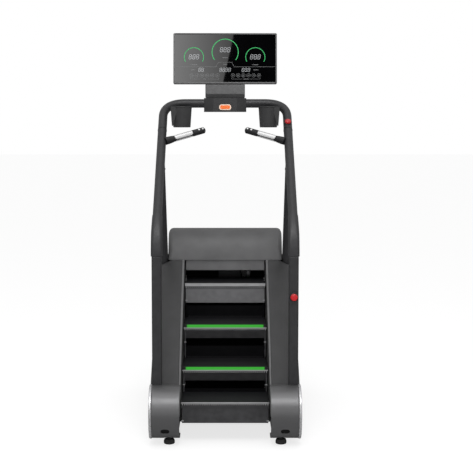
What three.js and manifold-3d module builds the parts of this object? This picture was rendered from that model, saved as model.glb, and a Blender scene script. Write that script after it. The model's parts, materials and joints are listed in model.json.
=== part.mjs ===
// A stair climber: a flight of moving steps between two sloping side casings, with a bent
// tube hoop, a display, cup holders, hand grips and a mushroom stop.
//
// Millimetres, +Z up. +X is the user's right, +Y points from the entry side to the display.
// While the parts are made, Y = 0 is the nosing plane of the lowest step; the finished group
// is then moved along Y so that the origin is under the middle of the machine.

import * as THREE from 'three';
import { mergeVertices } from 'three/addons/utils/BufferGeometryUtils.js';
import Module from 'manifold-3d';

const wasm = await Module();
wasm.setup();

// ---------------------------------------------------------------- driving dimensions

const GAP = 0.3; // clearance between pieces that touch

const STEP = { rise: 190, run: 240, halfWidth: 228, depth: 248, thickness: 24 };
const FLIGHT_LINE = { y: 750, z: 732 }; // where the line of the nosings ends at the top
const TOP_NOSING = { y: 750, z: 742 }; // the highest step stands a little above that line
const LOW_NOSING = { y: 30, z: 213 }; // the lowest step has begun to level out

// Layers across the machine, measured out from its middle plane.
const LAYER = {
  chainIn: 232, chainOut: 240, plateIn: 244, plateOut: 250,
  casingIn: 250.5, crease: 312, bevel: 385, casingOut: 399, discOut: 400,
};

const CASING = {
  aboveNosings: 50, wall: 4, bottom: 45, shoulderY: 853, shoulderZ: 862, frontY: 1385,
};
const ROUND_END = { y: 30, z: 165, radius: 138, wall: 4, cutY: 110, discRadius: 141 };

const TUBE_RADIUS = 25;
const SIDE_X = 358; // middle of the posts, rails and struts
const POST = { width: 50, depth: 70, y: 80, bottom: 62, top: 978 };
const POST_BEND_RADIUS = 250;
const RAIL_SLOPE = THREE.MathUtils.degToRad(37.5);
const CROSSBAR = { y: 955, half: 230 };
const RAIL_CORNER = 127; // length of rail taken up by the corner bend

const SPROCKET_RADIUS = 45.5;
const CHAIN = { inner: 47, outer: 56 };
const IDLER = { y: 150, z: 150 };
const DRIVE = { y: 986, z: 813, shaftRadius: 15, pulleyRadius: 66 };
const ROTOR = { y: 1225, z: 745, pulleyRadius: 25, flywheelRadius: 100 };
const BELT = { x: 102, width: 20, thickness: 2.6 };

const BASE_RAIL = { xIn: 267, xOut: 332, bottom: 60, top: 110, rear: -40, front: 1340 };
const FOOT = { x: 292, rearY: 0, frontY: 1250, radius: 30, height: 28 };
const WHEEL = { x: 352, y: 1290, z: 48, radius: 36, width: 26 };

const CUP = { x: 250, y: 868, rim: 1757, height: 122, topRadius: 58, footRadius: 50, wall: 3 };
const GRIP = {
  base: new THREE.Vector3(330, 674, 1562), tip: new THREE.Vector3(118, 800, 1621),
  radius: 17.5, stubRadius: 22, podStart: 192,
};
const CONSOLE = { width: 604, height: 295, depth: 38, y: 985, z: 2032, tilt: -8, rim: 4 };
const NECK = { half: 115.5, y: 950, depth: 25, bottom: 1806, top: 1883 };
const POD = { half: 123, faceHalf: 68, bottom: 1723, top: 1804, rearY: 898, frontY: 1002 };
const STOP = { z: 769, headRadius: 19, travelRoom: 6 };
const RAIL_BUTTON_Y = 800;

// ---------------------------------------------------------------- materials

const finish = (color, roughness, metalness) =>
  new THREE.MeshStandardMaterial({ color, roughness, metalness });

const MATERIAL = {
  framePaint: finish(0x3a3a3c, 0.5, 0.3),
  casing: finish(0x2e2e30, 0.55, 0.1),
  satinEnd: finish(0x5a5a5c, 0.35, 0.5),
  black: finish(0x141416, 0.6, 0.0),
  tread: finish(0x202225, 0.6, 0.1),
  steel: finish(0x8c8c90, 0.35, 0.9),
  rubber: finish(0x1a1a1a, 0.85, 0.0),
  glass: finish(0x060607, 0.08, 0.0),
  rim: finish(0x6c6c6e, 0.4, 0.4),
  red: finish(0xc21d1d, 0.4, 0.0),
  orange: finish(0xe8601c, 0.4, 0.0),
};

// ---------------------------------------------------------------- solids from geometry

// Turns a closed three.js geometry into a solid, right side out.
function solid(geometry) {
  const bare = new THREE.BufferGeometry();
  bare.setAttribute('position', geometry.getAttribute('position').clone());
  if (geometry.index) bare.setIndex(geometry.index.clone());
  const merged = mergeVertices(bare, 1e-3);
  const points = merged.getAttribute('position').array;
  const corners = Array.from(merged.index.array);
  const kept = [];
  for (let i = 0; i < corners.length; i += 3) {
    const [a, b, c] = corners.slice(i, i + 3);
    if (a !== b && b !== c && c !== a) kept.push(a, b, c);
  }
  if (signedVolume(points, kept) < 0) kept.reverse();
  return new wasm.Manifold(new wasm.Mesh({
    numProp: 3,
    vertProperties: Float32Array.from(points),
    triVerts: Uint32Array.from(kept),
  }));
}

function signedVolume(points, corners) {
  const at = (i) => new THREE.Vector3().fromArray(points, 3 * i);
  let sum = 0;
  for (let i = 0; i < corners.length; i += 3) {
    sum += at(corners[i]).dot(at(corners[i + 1]).cross(at(corners[i + 2])));
  }
  return sum / 6;
}

// The surface of a solid, mirrored to the left side of the machine when side is -1.
function surface(shape, side = 1) {
  const mesh = shape.getMesh();
  const points = Float32Array.from(mesh.vertProperties);
  const corners = Uint32Array.from(mesh.triVerts);
  if (side < 0) {
    for (let i = 0; i < points.length; i += 3) points[i] = -points[i];
    corners.reverse();
  }
  const geometry = new THREE.BufferGeometry();
  geometry.setAttribute('position', new THREE.BufferAttribute(points, 3));
  geometry.setIndex(new THREE.BufferAttribute(corners, 1));
  geometry.computeVertexNormals();
  return geometry;
}

const union = (first, ...rest) => rest.reduce((sum, next) => sum.add(next), first);
const cut = (body, ...tools) => tools.reduce((left, tool) => left.subtract(tool), body);

// A box between two corners.
function box(x0, x1, y0, y1, z0, z1) {
  const geometry = new THREE.BoxGeometry(x1 - x0, y1 - y0, z1 - z0);
  geometry.translate((x0 + x1) / 2, (y0 + y1) / 2, (z0 + z1) / 2);
  return solid(geometry);
}

// An outline drawn in the side view (points are y, z), pushed out from x0 to x1.
const SIDE_VIEW = new THREE.Matrix4().makeBasis(
  new THREE.Vector3(0, 1, 0), new THREE.Vector3(0, 0, 1), new THREE.Vector3(1, 0, 0));

function sidePlate(outline, x0, x1, holes = []) {
  const shape = new THREE.Shape(outline.map(([y, z]) => new THREE.Vector2(y, z)));
  for (const hole of holes) {
    shape.holes.push(new THREE.Path(hole.map(([y, z]) => new THREE.Vector2(y, z))));
  }
  const geometry = new THREE.ExtrudeGeometry(shape, { depth: x1 - x0, bevelEnabled: false });
  geometry.applyMatrix4(SIDE_VIEW);
  geometry.translate(x0, 0, 0);
  return solid(geometry);
}

// An outline drawn in plan (points are x, y), pushed up from z0 to z1.
function floorPlate(outline, z0, z1) {
  const shape = new THREE.Shape(outline.map(([x, y]) => new THREE.Vector2(x, y)));
  const geometry = new THREE.ExtrudeGeometry(shape, { depth: z1 - z0, bevelEnabled: false });
  geometry.translate(0, 0, z0);
  return solid(geometry);
}

// Round solids: each profile point is [radius, place along the axis].
const ALONG_X = new THREE.Matrix4().makeBasis(
  new THREE.Vector3(0, 1, 0), new THREE.Vector3(1, 0, 0), new THREE.Vector3(0, 0, -1));

function turned(profile, segments) {
  return new THREE.LatheGeometry(profile.map(([r, a]) => new THREE.Vector2(r, a)), segments);
}

function turnedX(profile, y, z, segments) {
  const geometry = turned(profile, segments);
  geometry.applyMatrix4(ALONG_X);
  geometry.translate(0, y, z);
  return solid(geometry);
}

function turnedZ(profile, x, y, segments) {
  const geometry = turned(profile, segments);
  geometry.rotateX(Math.PI / 2);
  geometry.translate(x, y, 0);
  return solid(geometry);
}

const rod = (radius, from, to) => [[0, from], [radius, from], [radius, to], [0, to]];

function circlePoints(y, z, radius, count, start = 0, turn = 2 * Math.PI) {
  const step = turn / count;
  const last = turn < 2 * Math.PI ? count + 1 : count;
  return Array.from({ length: last }, (_, i) => [
    y + radius * Math.cos(start + i * step),
    z + radius * Math.sin(start + i * step),
  ]);
}

// A bar of one section swept along a curve.
function swept(section, curve, steps) {
  const geometry = new THREE.ExtrudeGeometry(section, { steps, extrudePath: curve });
  return solid(geometry);
}

function roundSection(radius, sides) {
  return new THREE.Shape(circlePoints(0, 0, radius, sides).map(([a, b]) => new THREE.Vector2(a, b)));
}

// A closed skin over anticlockwise outlines with equally many points, each at its own x.
function lofted(stations) {
  const count = stations[0].outline.length;
  const points = stations.flatMap(({ x, outline }) => outline.flatMap(([y, z]) => [x, y, z]));
  const cap = THREE.ShapeUtils.triangulateShape(
    stations[0].outline.map(([y, z]) => new THREE.Vector2(y, z)), []);
  const corners = [];
  for (let s = 0; s + 1 < stations.length; s++) {
    for (let i = 0; i < count; i++) {
      const a = s * count + i;
      const b = s * count + ((i + 1) % count);
      corners.push(a, b, b + count, a, b + count, a + count);
    }
  }
  const end = (stations.length - 1) * count;
  for (const [a, b, c] of cap) {
    corners.push(c, b, a);
    corners.push(end + a, end + b, end + c);
  }
  const geometry = new THREE.BufferGeometry();
  geometry.setAttribute('position', new THREE.BufferAttribute(Float32Array.from(points), 3));
  geometry.setIndex(corners);
  return solid(geometry);
}

// ---------------------------------------------------------------- places worked out

const railHeight = (y) => railStart().z + (y - railStart().y) * Math.tan(RAIL_SLOPE);
const nosingHeight = (y) => FLIGHT_LINE.z + ((y - FLIGHT_LINE.y) * STEP.rise) / STEP.run;
const casingTop = (y) => nosingHeight(y) + CASING.aboveNosings;

// Where the bent post cap ends and the sloping rail starts.
function railStart() {
  const turn = Math.PI / 2 - RAIL_SLOPE;
  return {
    y: POST.y + POST_BEND_RADIUS * (1 - Math.cos(turn)),
    z: POST.top + POST_BEND_RADIUS * Math.sin(turn),
  };
}

const crossbarHeight = railHeight(CROSSBAR.y);

function nosing(step) {
  if (step === 1) return TOP_NOSING;
  if (step === 4) return LOW_NOSING;
  const y = FLIGHT_LINE.y - (step - 1) * STEP.run;
  return { y, z: nosingHeight(y) };
}

// The right handrail's middle line, from the post cap over the corner to the crossbar.
function railLine(extra = 0) {
  const corner = new THREE.Vector3(SIDE_X, CROSSBAR.y, crossbarHeight);
  const back = new THREE.Vector3(0, -Math.cos(RAIL_SLOPE), -Math.sin(RAIL_SLOPE));
  const start = new THREE.Vector3(SIDE_X, railStart().y, railStart().z);
  const bendStart = corner.clone().addScaledVector(back, RAIL_CORNER);
  const bendEnd = new THREE.Vector3(CROSSBAR.half, CROSSBAR.y, crossbarHeight);
  return { start: start.addScaledVector(back, extra), bendStart, corner, bendEnd };
}

function railClearance() {
  const line = railLine(60);
  const straight = new THREE.LineCurve3(line.start, line.bendStart);
  return swept(roundSection(TUBE_RADIUS + 2 * GAP, 24), straight, 1);
}

// ---------------------------------------------------------------- the machine

const machine = new THREE.Group();
machine.position.y = -(ROUND_END.y - ROUND_END.discRadius + CASING.frontY) / 2;

function add(name, shape, material, side = 1) {
  const mesh = new THREE.Mesh(surface(shape, side), material);
  mesh.name = name;
  machine.add(mesh);
  return mesh;
}

// The same piece on both sides of the machine, drawn for the right.
function addPair(name, shape, material) {
  add(`${name}_right`, shape, material);
  add(`${name}_left`, shape, material, -1);
}

// ---- base frame

function baseRail() {
  const beam = box(BASE_RAIL.xIn, BASE_RAIL.xOut, BASE_RAIL.rear, BASE_RAIL.front,
    BASE_RAIL.bottom, BASE_RAIL.top);
  const axleBlock = box(BASE_RAIL.xOut - 1, BASE_RAIL.xOut + 4, WHEEL.y - 14, WHEEL.y + 14,
    WHEEL.z - 14, BASE_RAIL.top);
  const axle = turnedX(rod(6, BASE_RAIL.xOut + 1, WHEEL.x + WHEEL.width / 2 + 3),
    WHEEL.y, WHEEL.z, 12);
  return union(beam, axleBlock, axle);
}

function crossTube(y, depth) {
  const half = LAYER.plateIn - GAP;
  return box(-half, half, y - depth / 2, y + depth / 2, 62, 102);
}

function transportWheel() {
  const half = WHEEL.width / 2;
  const profile = [
    [6.6, -half], [30, -half], [WHEEL.radius, -half + 5], [WHEEL.radius, half - 5],
    [30, half], [6.6, half], [6.6, -half],
  ];
  const geometry = turned(profile, 20);
  geometry.rotateZ(Math.PI / 2);
  return solid(geometry);
}

function levellingFoot() {
  return turnedZ([
    [0, 0], [24, 0], [FOOT.radius, 4], [FOOT.radius, 16], [26, FOOT.height], [8, FOOT.height],
    [8, BASE_RAIL.bottom - GAP], [0, BASE_RAIL.bottom - GAP],
  ], 0, 0, 18);
}

// ---- structural side plate, with the idler's stub axle and the drive shaft's bearing

function structuralPlate() {
  const slopeStart = ROUND_END.y;
  const outline = [
    [slopeStart, CASING.bottom + 5], [CASING.frontY - 10, CASING.bottom + 5],
    [CASING.frontY - 10, CASING.shoulderZ - 2], [CASING.shoulderY, CASING.shoulderZ - 2],
    [slopeStart + 40, casingTop(slopeStart + 40) - 2], [slopeStart, ROUND_END.z + 100],
  ];
  const sheet = sidePlate(outline, LAYER.plateIn, LAYER.plateOut);
  const disc = turnedX(rod(ROUND_END.radius - 1, LAYER.plateIn, LAYER.plateOut),
    ROUND_END.y, ROUND_END.z, 40);
  const stub = turnedX(rod(10, LAYER.chainIn - 2, LAYER.plateIn + 1), IDLER.y, IDLER.z, 14);
  const housing = turnedX(rod(32, LAYER.plateOut - 1, LAYER.plateOut + 11), DRIVE.y, DRIVE.z, 18);
  const shaftHole = turnedX(rod(DRIVE.shaftRadius + 0.6, LAYER.plateIn - 5, LAYER.plateOut + 15),
    DRIVE.y, DRIVE.z, 18);
  return cut(union(sheet, disc, stub, housing), shaftHole);
}

// ---- step drive

// A ring of teeth: the outline steps between a root and a tip radius.
function sprocketOutline(y, z, teeth) {
  const outline = [];
  const pitch = (2 * Math.PI) / teeth;
  for (let tooth = 0; tooth < teeth; tooth++) {
    for (const [share, drop] of [[0, 6.5], [0.3, 6.5], [0.45, 0], [0.85, 0]]) {
      const angle = (tooth + share) * pitch;
      const reach = SPROCKET_RADIUS - drop;
      outline.push([y + reach * Math.cos(angle), z + reach * Math.sin(angle)]);
    }
  }
  return outline;
}

function sprocket(y, z) {
  return sidePlate(sprocketOutline(y, z, 9), LAYER.chainIn + 0.5, LAYER.chainOut - 0.5);
}

function driveShaft() {
  const reach = LAYER.plateOut + 12;
  const shaft = turnedX(rod(DRIVE.shaftRadius, -reach, reach), DRIVE.y, DRIVE.z, 14);
  const pulley = turnedX(rod(DRIVE.pulleyRadius, BELT.x - 1, BELT.x + BELT.width + 3),
    DRIVE.y, DRIVE.z, 28);
  const right = sprocket(DRIVE.y, DRIVE.z);
  const left = solid(surface(right, -1));
  return union(shaft, pulley, right, left);
}

function idlerSprocket() {
  const bore = turnedX(rod(10.6, LAYER.chainIn - 5, LAYER.chainOut + 5), 0, 0, 14);
  return cut(sprocket(0, 0), bore);
}

// Outline of a belt or chain round two circles, the larger first.
function loopOutline(a, ra, b, rb, count) {
  const along = Math.atan2(b.z - a.z, b.y - a.y);
  const apart = Math.hypot(b.y - a.y, b.z - a.z);
  const lean = Math.acos((ra - rb) / apart);
  const first = circlePoints(a.y, a.z, ra, count, along + lean, 2 * Math.PI - 2 * lean);
  const second = circlePoints(b.y, b.z, rb, count, along - lean, 2 * lean);
  return [...first, ...second];
}

function stepChain() {
  const outer = loopOutline(IDLER, CHAIN.outer, DRIVE, CHAIN.outer, 10);
  const inner = loopOutline(IDLER, CHAIN.inner, DRIVE, CHAIN.inner, 10);
  return sidePlate(outer, LAYER.chainIn, LAYER.chainOut, [inner]);
}

function driveBelt() {
  const { pulleyRadius: big } = DRIVE;
  const { pulleyRadius: small } = ROTOR;
  const outer = loopOutline(DRIVE, big + GAP + BELT.thickness, ROTOR,
    small + GAP + BELT.thickness, 14);
  const inner = loopOutline(DRIVE, big + 1, ROTOR, small + 1, 14);
  return sidePlate(outer, BELT.x, BELT.x + BELT.width, [inner]);
}

function alternator() {
  const half = LAYER.plateIn - GAP;
  const drum = turnedX(rod(70, -40, 95), ROTOR.y, ROTOR.z, 22);
  const saddle = box(-30, 85, ROTOR.y - 45, ROTOR.y + 45, ROTOR.z - 112, ROTOR.z - 40);
  const bar = box(-half, half, ROTOR.y - 30, ROTOR.y + 30, ROTOR.z - 130, ROTOR.z - 110);
  return union(drum, saddle, bar);
}

function alternatorRotor() {
  return turnedX([
    [0, 95.5], [10, 95.5], [10, BELT.x - 1], [ROTOR.pulleyRadius, BELT.x - 1],
    [ROTOR.pulleyRadius, BELT.x + BELT.width + 2], [10, BELT.x + BELT.width + 2], [10, 130],
    [ROTOR.flywheelRadius, 130], [ROTOR.flywheelRadius, 150], [10, 150], [10, 158], [0, 158],
  ], ROTOR.y, ROTOR.z, 24);
}

// ---- the flight of steps, each drawn with its nosing edge at the origin

function tread() {
  const { halfWidth: half, depth, thickness } = STEP;
  const slab = sidePlate([
    [0, -3], [3, 0], [depth, 0], [depth, -10], [40, -10], [26, -thickness], [3, -thickness],
    [0, -thickness + 3],
  ], -half, half);
  const pin = (side) => turnedX(rod(5, side > 0 ? half - 1 : -half - 3, side > 0 ? half + 3 : 1 - half),
    15, -14, 12);
  return union(slab, pin(1), pin(-1));
}

// The hanging skirt under a nosing, leaning in by an angle, with the recessed lower panel
// that reaches down to the next tread, a drop below, and the end flanges that join the two.
function riser(lean, skirtLength, drop) {
  const sheet = 4;
  const panelBottom = -drop + 1;
  const panelTop = -drop + 68;
  const top = [3, -STEP.thickness - 4];
  const run = [Math.sin(lean), -Math.cos(lean)];
  const low = [top[0] + run[0] * skirtLength, top[1] + run[1] * skirtLength];
  const back = [Math.cos(lean) * sheet, Math.sin(lean) * sheet];
  const half = STEP.halfWidth - 1;
  const skirt = sidePlate([
    top, low, [low[0] + back[0], low[1] + back[1]], [top[0] + back[0], top[1] + back[1]],
  ], -half, half);
  if (!drop) return skirt;
  const panel = box(-half, half, 12, 12 + sheet, panelBottom, panelTop);
  const flangeOutline = [
    top, [12, panelBottom], [12 + sheet, panelBottom],
    [Math.max(low[0] + back[0], 12 + sheet), low[1] + back[1]],
    [Math.max(top[0] + back[0], 12), top[1] + back[1]],
  ];
  const flange = (x0, x1) => sidePlate(flangeOutline, x0, x1);
  return union(skirt, panel, flange(half - 6, half), flange(-half, -half + 6));
}

// ---- casings

// The casing's outline in the side view, with its upper and front edges drawn in.
function casingOutline(inset, frontInset, rearY) {
  const top = CASING.shoulderZ - inset;
  const front = CASING.frontY - frontInset;
  return [
    [rearY, CASING.bottom], [front - 40, CASING.bottom], [front, CASING.bottom + 45],
    [front, top - 30], [front - 25, top], [CASING.shoulderY, top],
    [rearY, casingTop(rearY) - inset],
  ];
}

function frontStrutLine() {
  const foot = new THREE.Vector3(SIDE_X, 910, POST.bottom);
  const bend = new THREE.Vector3(SIDE_X, 910, 862);
  const topY = 535;
  const top = new THREE.Vector3(SIDE_X, topY, railHeight(topY));
  return { foot, bend, top };
}

// The strut rises straight out of the base, then bends back to meet the rail.
function frontStrutTube(radius, sides) {
  const { foot, bend, top } = frontStrutLine();
  const reach = 90;
  const below = bend.clone().setZ(bend.z - reach);
  const above = bend.clone().lerp(top, reach / bend.distanceTo(top));
  const line = new THREE.CurvePath();
  line.add(new THREE.LineCurve3(foot, below));
  line.add(new THREE.QuadraticBezierCurve3(below, bend, above));
  line.add(new THREE.LineCurve3(above, top));
  return swept(roundSection(radius, sides), line, 16);
}

function postColumn(clearance) {
  const halfX = POST.width / 2 + clearance;
  const halfY = POST.depth / 2 + clearance;
  const edge = 5;
  const outline = [
    [SIDE_X - halfX + edge, POST.y - halfY], [SIDE_X + halfX - edge, POST.y - halfY],
    [SIDE_X + halfX, POST.y - halfY + edge], [SIDE_X + halfX, POST.y + halfY - edge],
    [SIDE_X + halfX - edge, POST.y + halfY], [SIDE_X - halfX + edge, POST.y + halfY],
    [SIDE_X - halfX, POST.y + halfY - edge], [SIDE_X - halfX, POST.y - halfY + edge],
  ];
  return floorPlate(outline, POST.bottom - clearance, POST.top);
}

function sideCasing() {
  const { wall } = CASING;
  const rear = ROUND_END.cutY + GAP;
  const outer = lofted([
    { x: LAYER.casingIn, outline: casingOutline(0, 0, rear) },
    { x: LAYER.crease, outline: casingOutline(0, 0, rear) },
    { x: LAYER.bevel, outline: casingOutline(35, 6, rear) },
    { x: LAYER.casingOut, outline: casingOutline(60, 20, rear) },
  ]);
  const open = (outline) => outline.map(([y, z]) => [y, z < CASING.bottom + 1 ? z - 5 : z]);
  const inner = lofted([
    { x: LAYER.casingIn - 5, outline: open(casingOutline(wall, wall, rear - 5)) },
    { x: LAYER.crease - 1, outline: open(casingOutline(wall, wall, rear - 5)) },
    { x: LAYER.bevel - 3, outline: open(casingOutline(35 + wall, 6 + wall, rear - 5)) },
    { x: LAYER.casingOut - wall, outline: open(casingOutline(60 + wall, 20 + wall, rear - 5)) },
  ]);
  const discRoom = turnedX(rod(ROUND_END.discRadius + GAP, LAYER.bevel - 4, LAYER.discOut + 2),
    ROUND_END.y, ROUND_END.z, 40);
  return cut(outer, inner, discRoom, postColumn(1), frontStrutTube(TUBE_RADIUS + 1, 12));
}

function roundEnd() {
  const { y, z, radius, wall, cutY, discRadius } = ROUND_END;
  const endWall = LAYER.bevel - 8;
  const shell = turnedX([
    [0, endWall], [radius - wall, endWall], [radius - wall, LAYER.casingIn],
    [radius, LAYER.casingIn], [radius, LAYER.bevel - 4], [discRadius, LAYER.bevel - 1],
    [discRadius, LAYER.discOut - 5], [discRadius - 5, LAYER.discOut], [0, LAYER.discOut],
  ], y, z, 40);
  const front = box(LAYER.casingIn - 2, LAYER.bevel - 3.8, cutY, cutY + 80, z - 160, z + 160);
  const footRoom = turnedZ(rod(FOOT.radius + 1, 10, 60), FOOT.x, FOOT.rearY, 28);
  const recess = box(288, 334, y - 160, y - 60, 82, 106);
  return cut(shell, front, postColumn(0.7), footRoom, recess);
}

// The cowl's outline in the side view, drawn in by an inset from its upper faces.
function cowlOutline(inset, bottom) {
  const rear = new THREE.QuadraticBezierCurve(
    new THREE.Vector2(868 + inset, bottom), new THREE.Vector2(898 + inset, 1008 - inset),
    new THREE.Vector2(985, 1031 - inset));
  const top = new THREE.QuadraticBezierCurve(
    new THREE.Vector2(985, 1031 - inset), new THREE.Vector2(1180, 1045 - inset),
    new THREE.Vector2(1340 - inset, 945 - inset));
  return [
    ...rear.getPoints(8), ...top.getPoints(8).slice(1),
    new THREE.Vector2(1381 - inset, 905 - inset), new THREE.Vector2(1381 - inset, bottom),
  ].map((point) => [point.x, point.y]).reverse();
}

function cowl() {
  const bottom = CASING.shoulderZ + 0.5;
  const half = 328;
  const rounding = [[0, 26], [4, 14], [12, 5], [26, 0]];
  const stations = (extra, low, reach) => [
    ...rounding.map(([back, inset]) => ({ x: -reach + back, outline: cowlOutline(inset + extra, low) })),
    ...[...rounding].reverse().map(([back, inset]) => (
      { x: reach - back, outline: cowlOutline(inset + extra, low) })),
  ];
  return cut(lofted(stations(0, bottom, half)), lofted(stations(4, bottom - 2, half - 4)));
}

function cowlLip() {
  return sidePlate([
    [885, 800], [903, 797], [903, 858], [893, 861], [886, 858],
  ], -LAYER.chainIn + 2, LAYER.chainIn - 2);
}

function frontCover() {
  const half = LAYER.plateIn - 1;
  const sheet = sidePlate([
    [CASING.frontY - 6, 50], [CASING.frontY, 90], [CASING.frontY, 820],
    [CASING.frontY - 10, CASING.shoulderZ - 2], [CASING.frontY - 15, CASING.shoulderZ - 2],
    [CASING.frontY - 5, 818], [CASING.frontY - 5, 92], [CASING.frontY - 11, 50],
  ], -half, half);
  return cut(sheet, box(124, 176, CASING.frontY - 20, CASING.frontY + 5, 104, 136));
}

function powerInlet() {
  const body = box(124.5, 175.5, CASING.frontY - 40, CASING.frontY - 0.5, 104.5, 135.5);
  return cut(body, box(132, 168, CASING.frontY - 22, CASING.frontY + 5, 109, 131));
}

// ---- uprights and hoop

function postCap() {
  const turn = Math.PI / 2 - RAIL_SLOPE;
  const pull = POST_BEND_RADIUS * (4 / 3) * Math.tan(turn / 4);
  const low = new THREE.Vector3(SIDE_X, POST.y, POST.top + GAP);
  const high = new THREE.Vector3(SIDE_X, railStart().y, railStart().z);
  const railBack = new THREE.Vector3(0, -Math.cos(RAIL_SLOPE), -Math.sin(RAIL_SLOPE));
  const bend = new THREE.CubicBezierCurve3(
    low, low.clone().setZ(low.z + pull), high.clone().addScaledVector(railBack, pull), high);
  const width = POST.width + 4;
  const depth = 62;
  const edge = 14;
  const section = new THREE.Shape([
    [-width / 2 + edge, -depth / 2], [width / 2 - edge, -depth / 2], [width / 2, -depth / 2 + edge],
    [width / 2, depth / 2 - edge], [width / 2 - edge, depth / 2], [-width / 2 + edge, depth / 2],
    [-width / 2, depth / 2 - edge], [-width / 2, -depth / 2 + edge],
  ].map(([a, b]) => new THREE.Vector2(a, b)));
  return swept(section, bend, 8);
}

function handrail(radius = TUBE_RADIUS, sides = 14) {
  const { start, bendStart, corner, bendEnd } = railLine(-1);
  const line = new THREE.CurvePath();
  line.add(new THREE.LineCurve3(start, bendStart));
  line.add(new THREE.QuadraticBezierCurve3(bendStart, corner, bendEnd));
  return swept(roundSection(radius, sides), line, 22);
}

function crossbar() {
  const half = CROSSBAR.half - GAP;
  return turnedX(rod(TUBE_RADIUS, -half, half), CROSSBAR.y, crossbarHeight, 20);
}

function frontStrut() {
  return cut(frontStrutTube(TUBE_RADIUS - 1, 12), railClearance());
}

// ---- control pod and its push button

function controlPod() {
  const { half, faceHalf, bottom, top, rearY, frontY } = POD;
  const body = floorPlate([
    [-faceHalf, rearY], [faceHalf, rearY], [half, rearY + 34], [half, frontY],
    [-half, frontY], [-half, rearY + 34],
  ], bottom, top);
  const bore = turnedX(rod(TUBE_RADIUS + GAP, -half - 5, half + 5), CROSSBAR.y, crossbarHeight, 24);
  const pocket = box(-36, 36, rearY - 5, rearY + 8, 1734.5, 1767.5);
  return cut(body, bore, pocket);
}

function podButton() {
  const edge = 12;
  const [w, h] = [35, 16];
  const shape = new THREE.Shape([
    [-w + edge, -h], [w - edge, -h], [w, -h + edge], [w, h - edge],
    [w - edge, h], [-w + edge, h], [-w, h - edge], [-w, -h + edge],
  ].map(([a, b]) => new THREE.Vector2(a, b)));
  const geometry = new THREE.ExtrudeGeometry(shape, { depth: 7, bevelEnabled: false });
  geometry.rotateX(Math.PI / 2);
  return solid(geometry);
}

// ---- display

function consoleShell() {
  const { width, height, depth, rim } = CONSOLE;
  const edge = 5;
  const [w, h] = [width / 2, height / 2];
  const outline = [
    [-w + edge, -h], [w - edge, -h], [w, -h + edge], [w, h - edge],
    [w - edge, h], [-w + edge, h], [-w, h - edge], [-w, -h + edge],
  ];
  const shape = new THREE.Shape(outline.map(([a, b]) => new THREE.Vector2(a, b)));
  const geometry = new THREE.ExtrudeGeometry(shape, { depth, bevelEnabled: false });
  geometry.rotateX(Math.PI / 2);
  geometry.translate(0, depth / 2, 0);
  const seat = box(-w + rim, w - rim, -depth / 2 - 5, -depth / 2 + 4.3, -h + rim, h - rim);
  return cut(solid(geometry), seat);
}

function consoleGlass() {
  const { width, height, depth, rim } = CONSOLE;
  const [w, h] = [width / 2 - rim - GAP, height / 2 - rim - GAP];
  return box(-w, w, -depth / 2, -depth / 2 + 4, -h, h);
}

function consoleNeck() {
  const { half, y, depth, bottom, top } = NECK;
  return floorPlate([
    [-half + 6, y], [half - 6, y], [half, y + 6], [half, y + depth], [-half, y + depth],
    [-half, y + 6],
  ], bottom, top);
}

// ---- cup holders

function cupHolder() {
  const { x, y, rim, height, topRadius, footRadius, wall } = CUP;
  const low = rim - height;
  const bracket = box(x - 26, x + 26, y + topRadius - 6, CROSSBAR.y + 4, rim - 22, rim - 0.5);
  const tubeRoom = union(handrail(TUBE_RADIUS + 3 * GAP, 14),
    turnedX(rod(TUBE_RADIUS + 2 * GAP, 150, CROSSBAR.half + 5), CROSSBAR.y, crossbarHeight, 24));
  const outside = turnedZ([
    [0, low], [footRadius - 4, low], [footRadius, low + 4], [topRadius, rim - 4],
    [topRadius + 4, rim - 4], [topRadius + 4, rim], [0, rim],
  ], x, y, 24);
  const inside = turnedZ([
    [0, low + 4], [footRadius - wall - 3, low + 4], [footRadius - wall, low + 7],
    [topRadius - wall, rim + 2], [0, rim + 2],
  ], x, y, 24);
  return cut(union(outside, cut(bracket, tubeRoom)), inside);
}

// ---- hand grips, drawn along +Y from the rail, with +Z towards the user's thumbs

function gripFrame() {
  const along = GRIP.tip.clone().sub(GRIP.base).normalize();
  const face = new THREE.Vector3(0, -0.8, 0.6);
  face.addScaledVector(along, -face.dot(along)).normalize();
  const across = along.clone().cross(face);
  const turn = new THREE.Matrix4().makeBasis(across, along, face);
  return turn.setPosition(GRIP.base);
}

const gripLength = GRIP.base.distanceTo(GRIP.tip);
const BUTTON_PLACES = [gripLength - 42, gripLength - 17];

function gripBar() {
  const { radius, stubRadius, podStart } = GRIP;
  const podRadius = radius + 1;
  const bar = solid(turned([
    [0, -14], [stubRadius, -14], [stubRadius, 12], [radius + 1.5, 44], [radius, 46],
    [radius, podStart], [podRadius, podStart + 1], [podRadius, gripLength - 8],
    [podRadius - 7, gripLength], [0, gripLength],
  ], 18));
  const pockets = BUTTON_PLACES.map((place) => {
    const pocket = turned(rod(8.6, 11, 30), 14);
    pocket.rotateX(Math.PI / 2);
    pocket.translate(0, place, 0);
    return solid(pocket);
  });
  return cut(bar, ...pockets);
}

// A grip bar placed against the rail, cut to the rail's round surface.
function placedGrip() {
  const geometry = surface(gripBar());
  geometry.applyMatrix4(gripFrame());
  return cut(solid(geometry), railClearance());
}

function gripButton(place) {
  const geometry = turned([[0, 13.2], [8, 13.2], [8, 19], [7, 20], [0, 20]], 14);
  geometry.rotateX(Math.PI / 2);
  geometry.translate(0, place, 0);
  geometry.applyMatrix4(gripFrame());
  return solid(geometry);
}

// ---- stops

// A round head on a stem, drawn along +Y from the surface that it is pushed towards.
function pushHead(radius, stemLength) {
  return turned([
    [0, -3], [8.5, -3], [8.5, stemLength], [radius - 2, stemLength], [radius, stemLength + 3],
    [radius, stemLength + 8], [radius - 5, stemLength + 13], [radius - 11, stemLength + 15],
    [0, stemLength + 15],
  ], 18);
}

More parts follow.
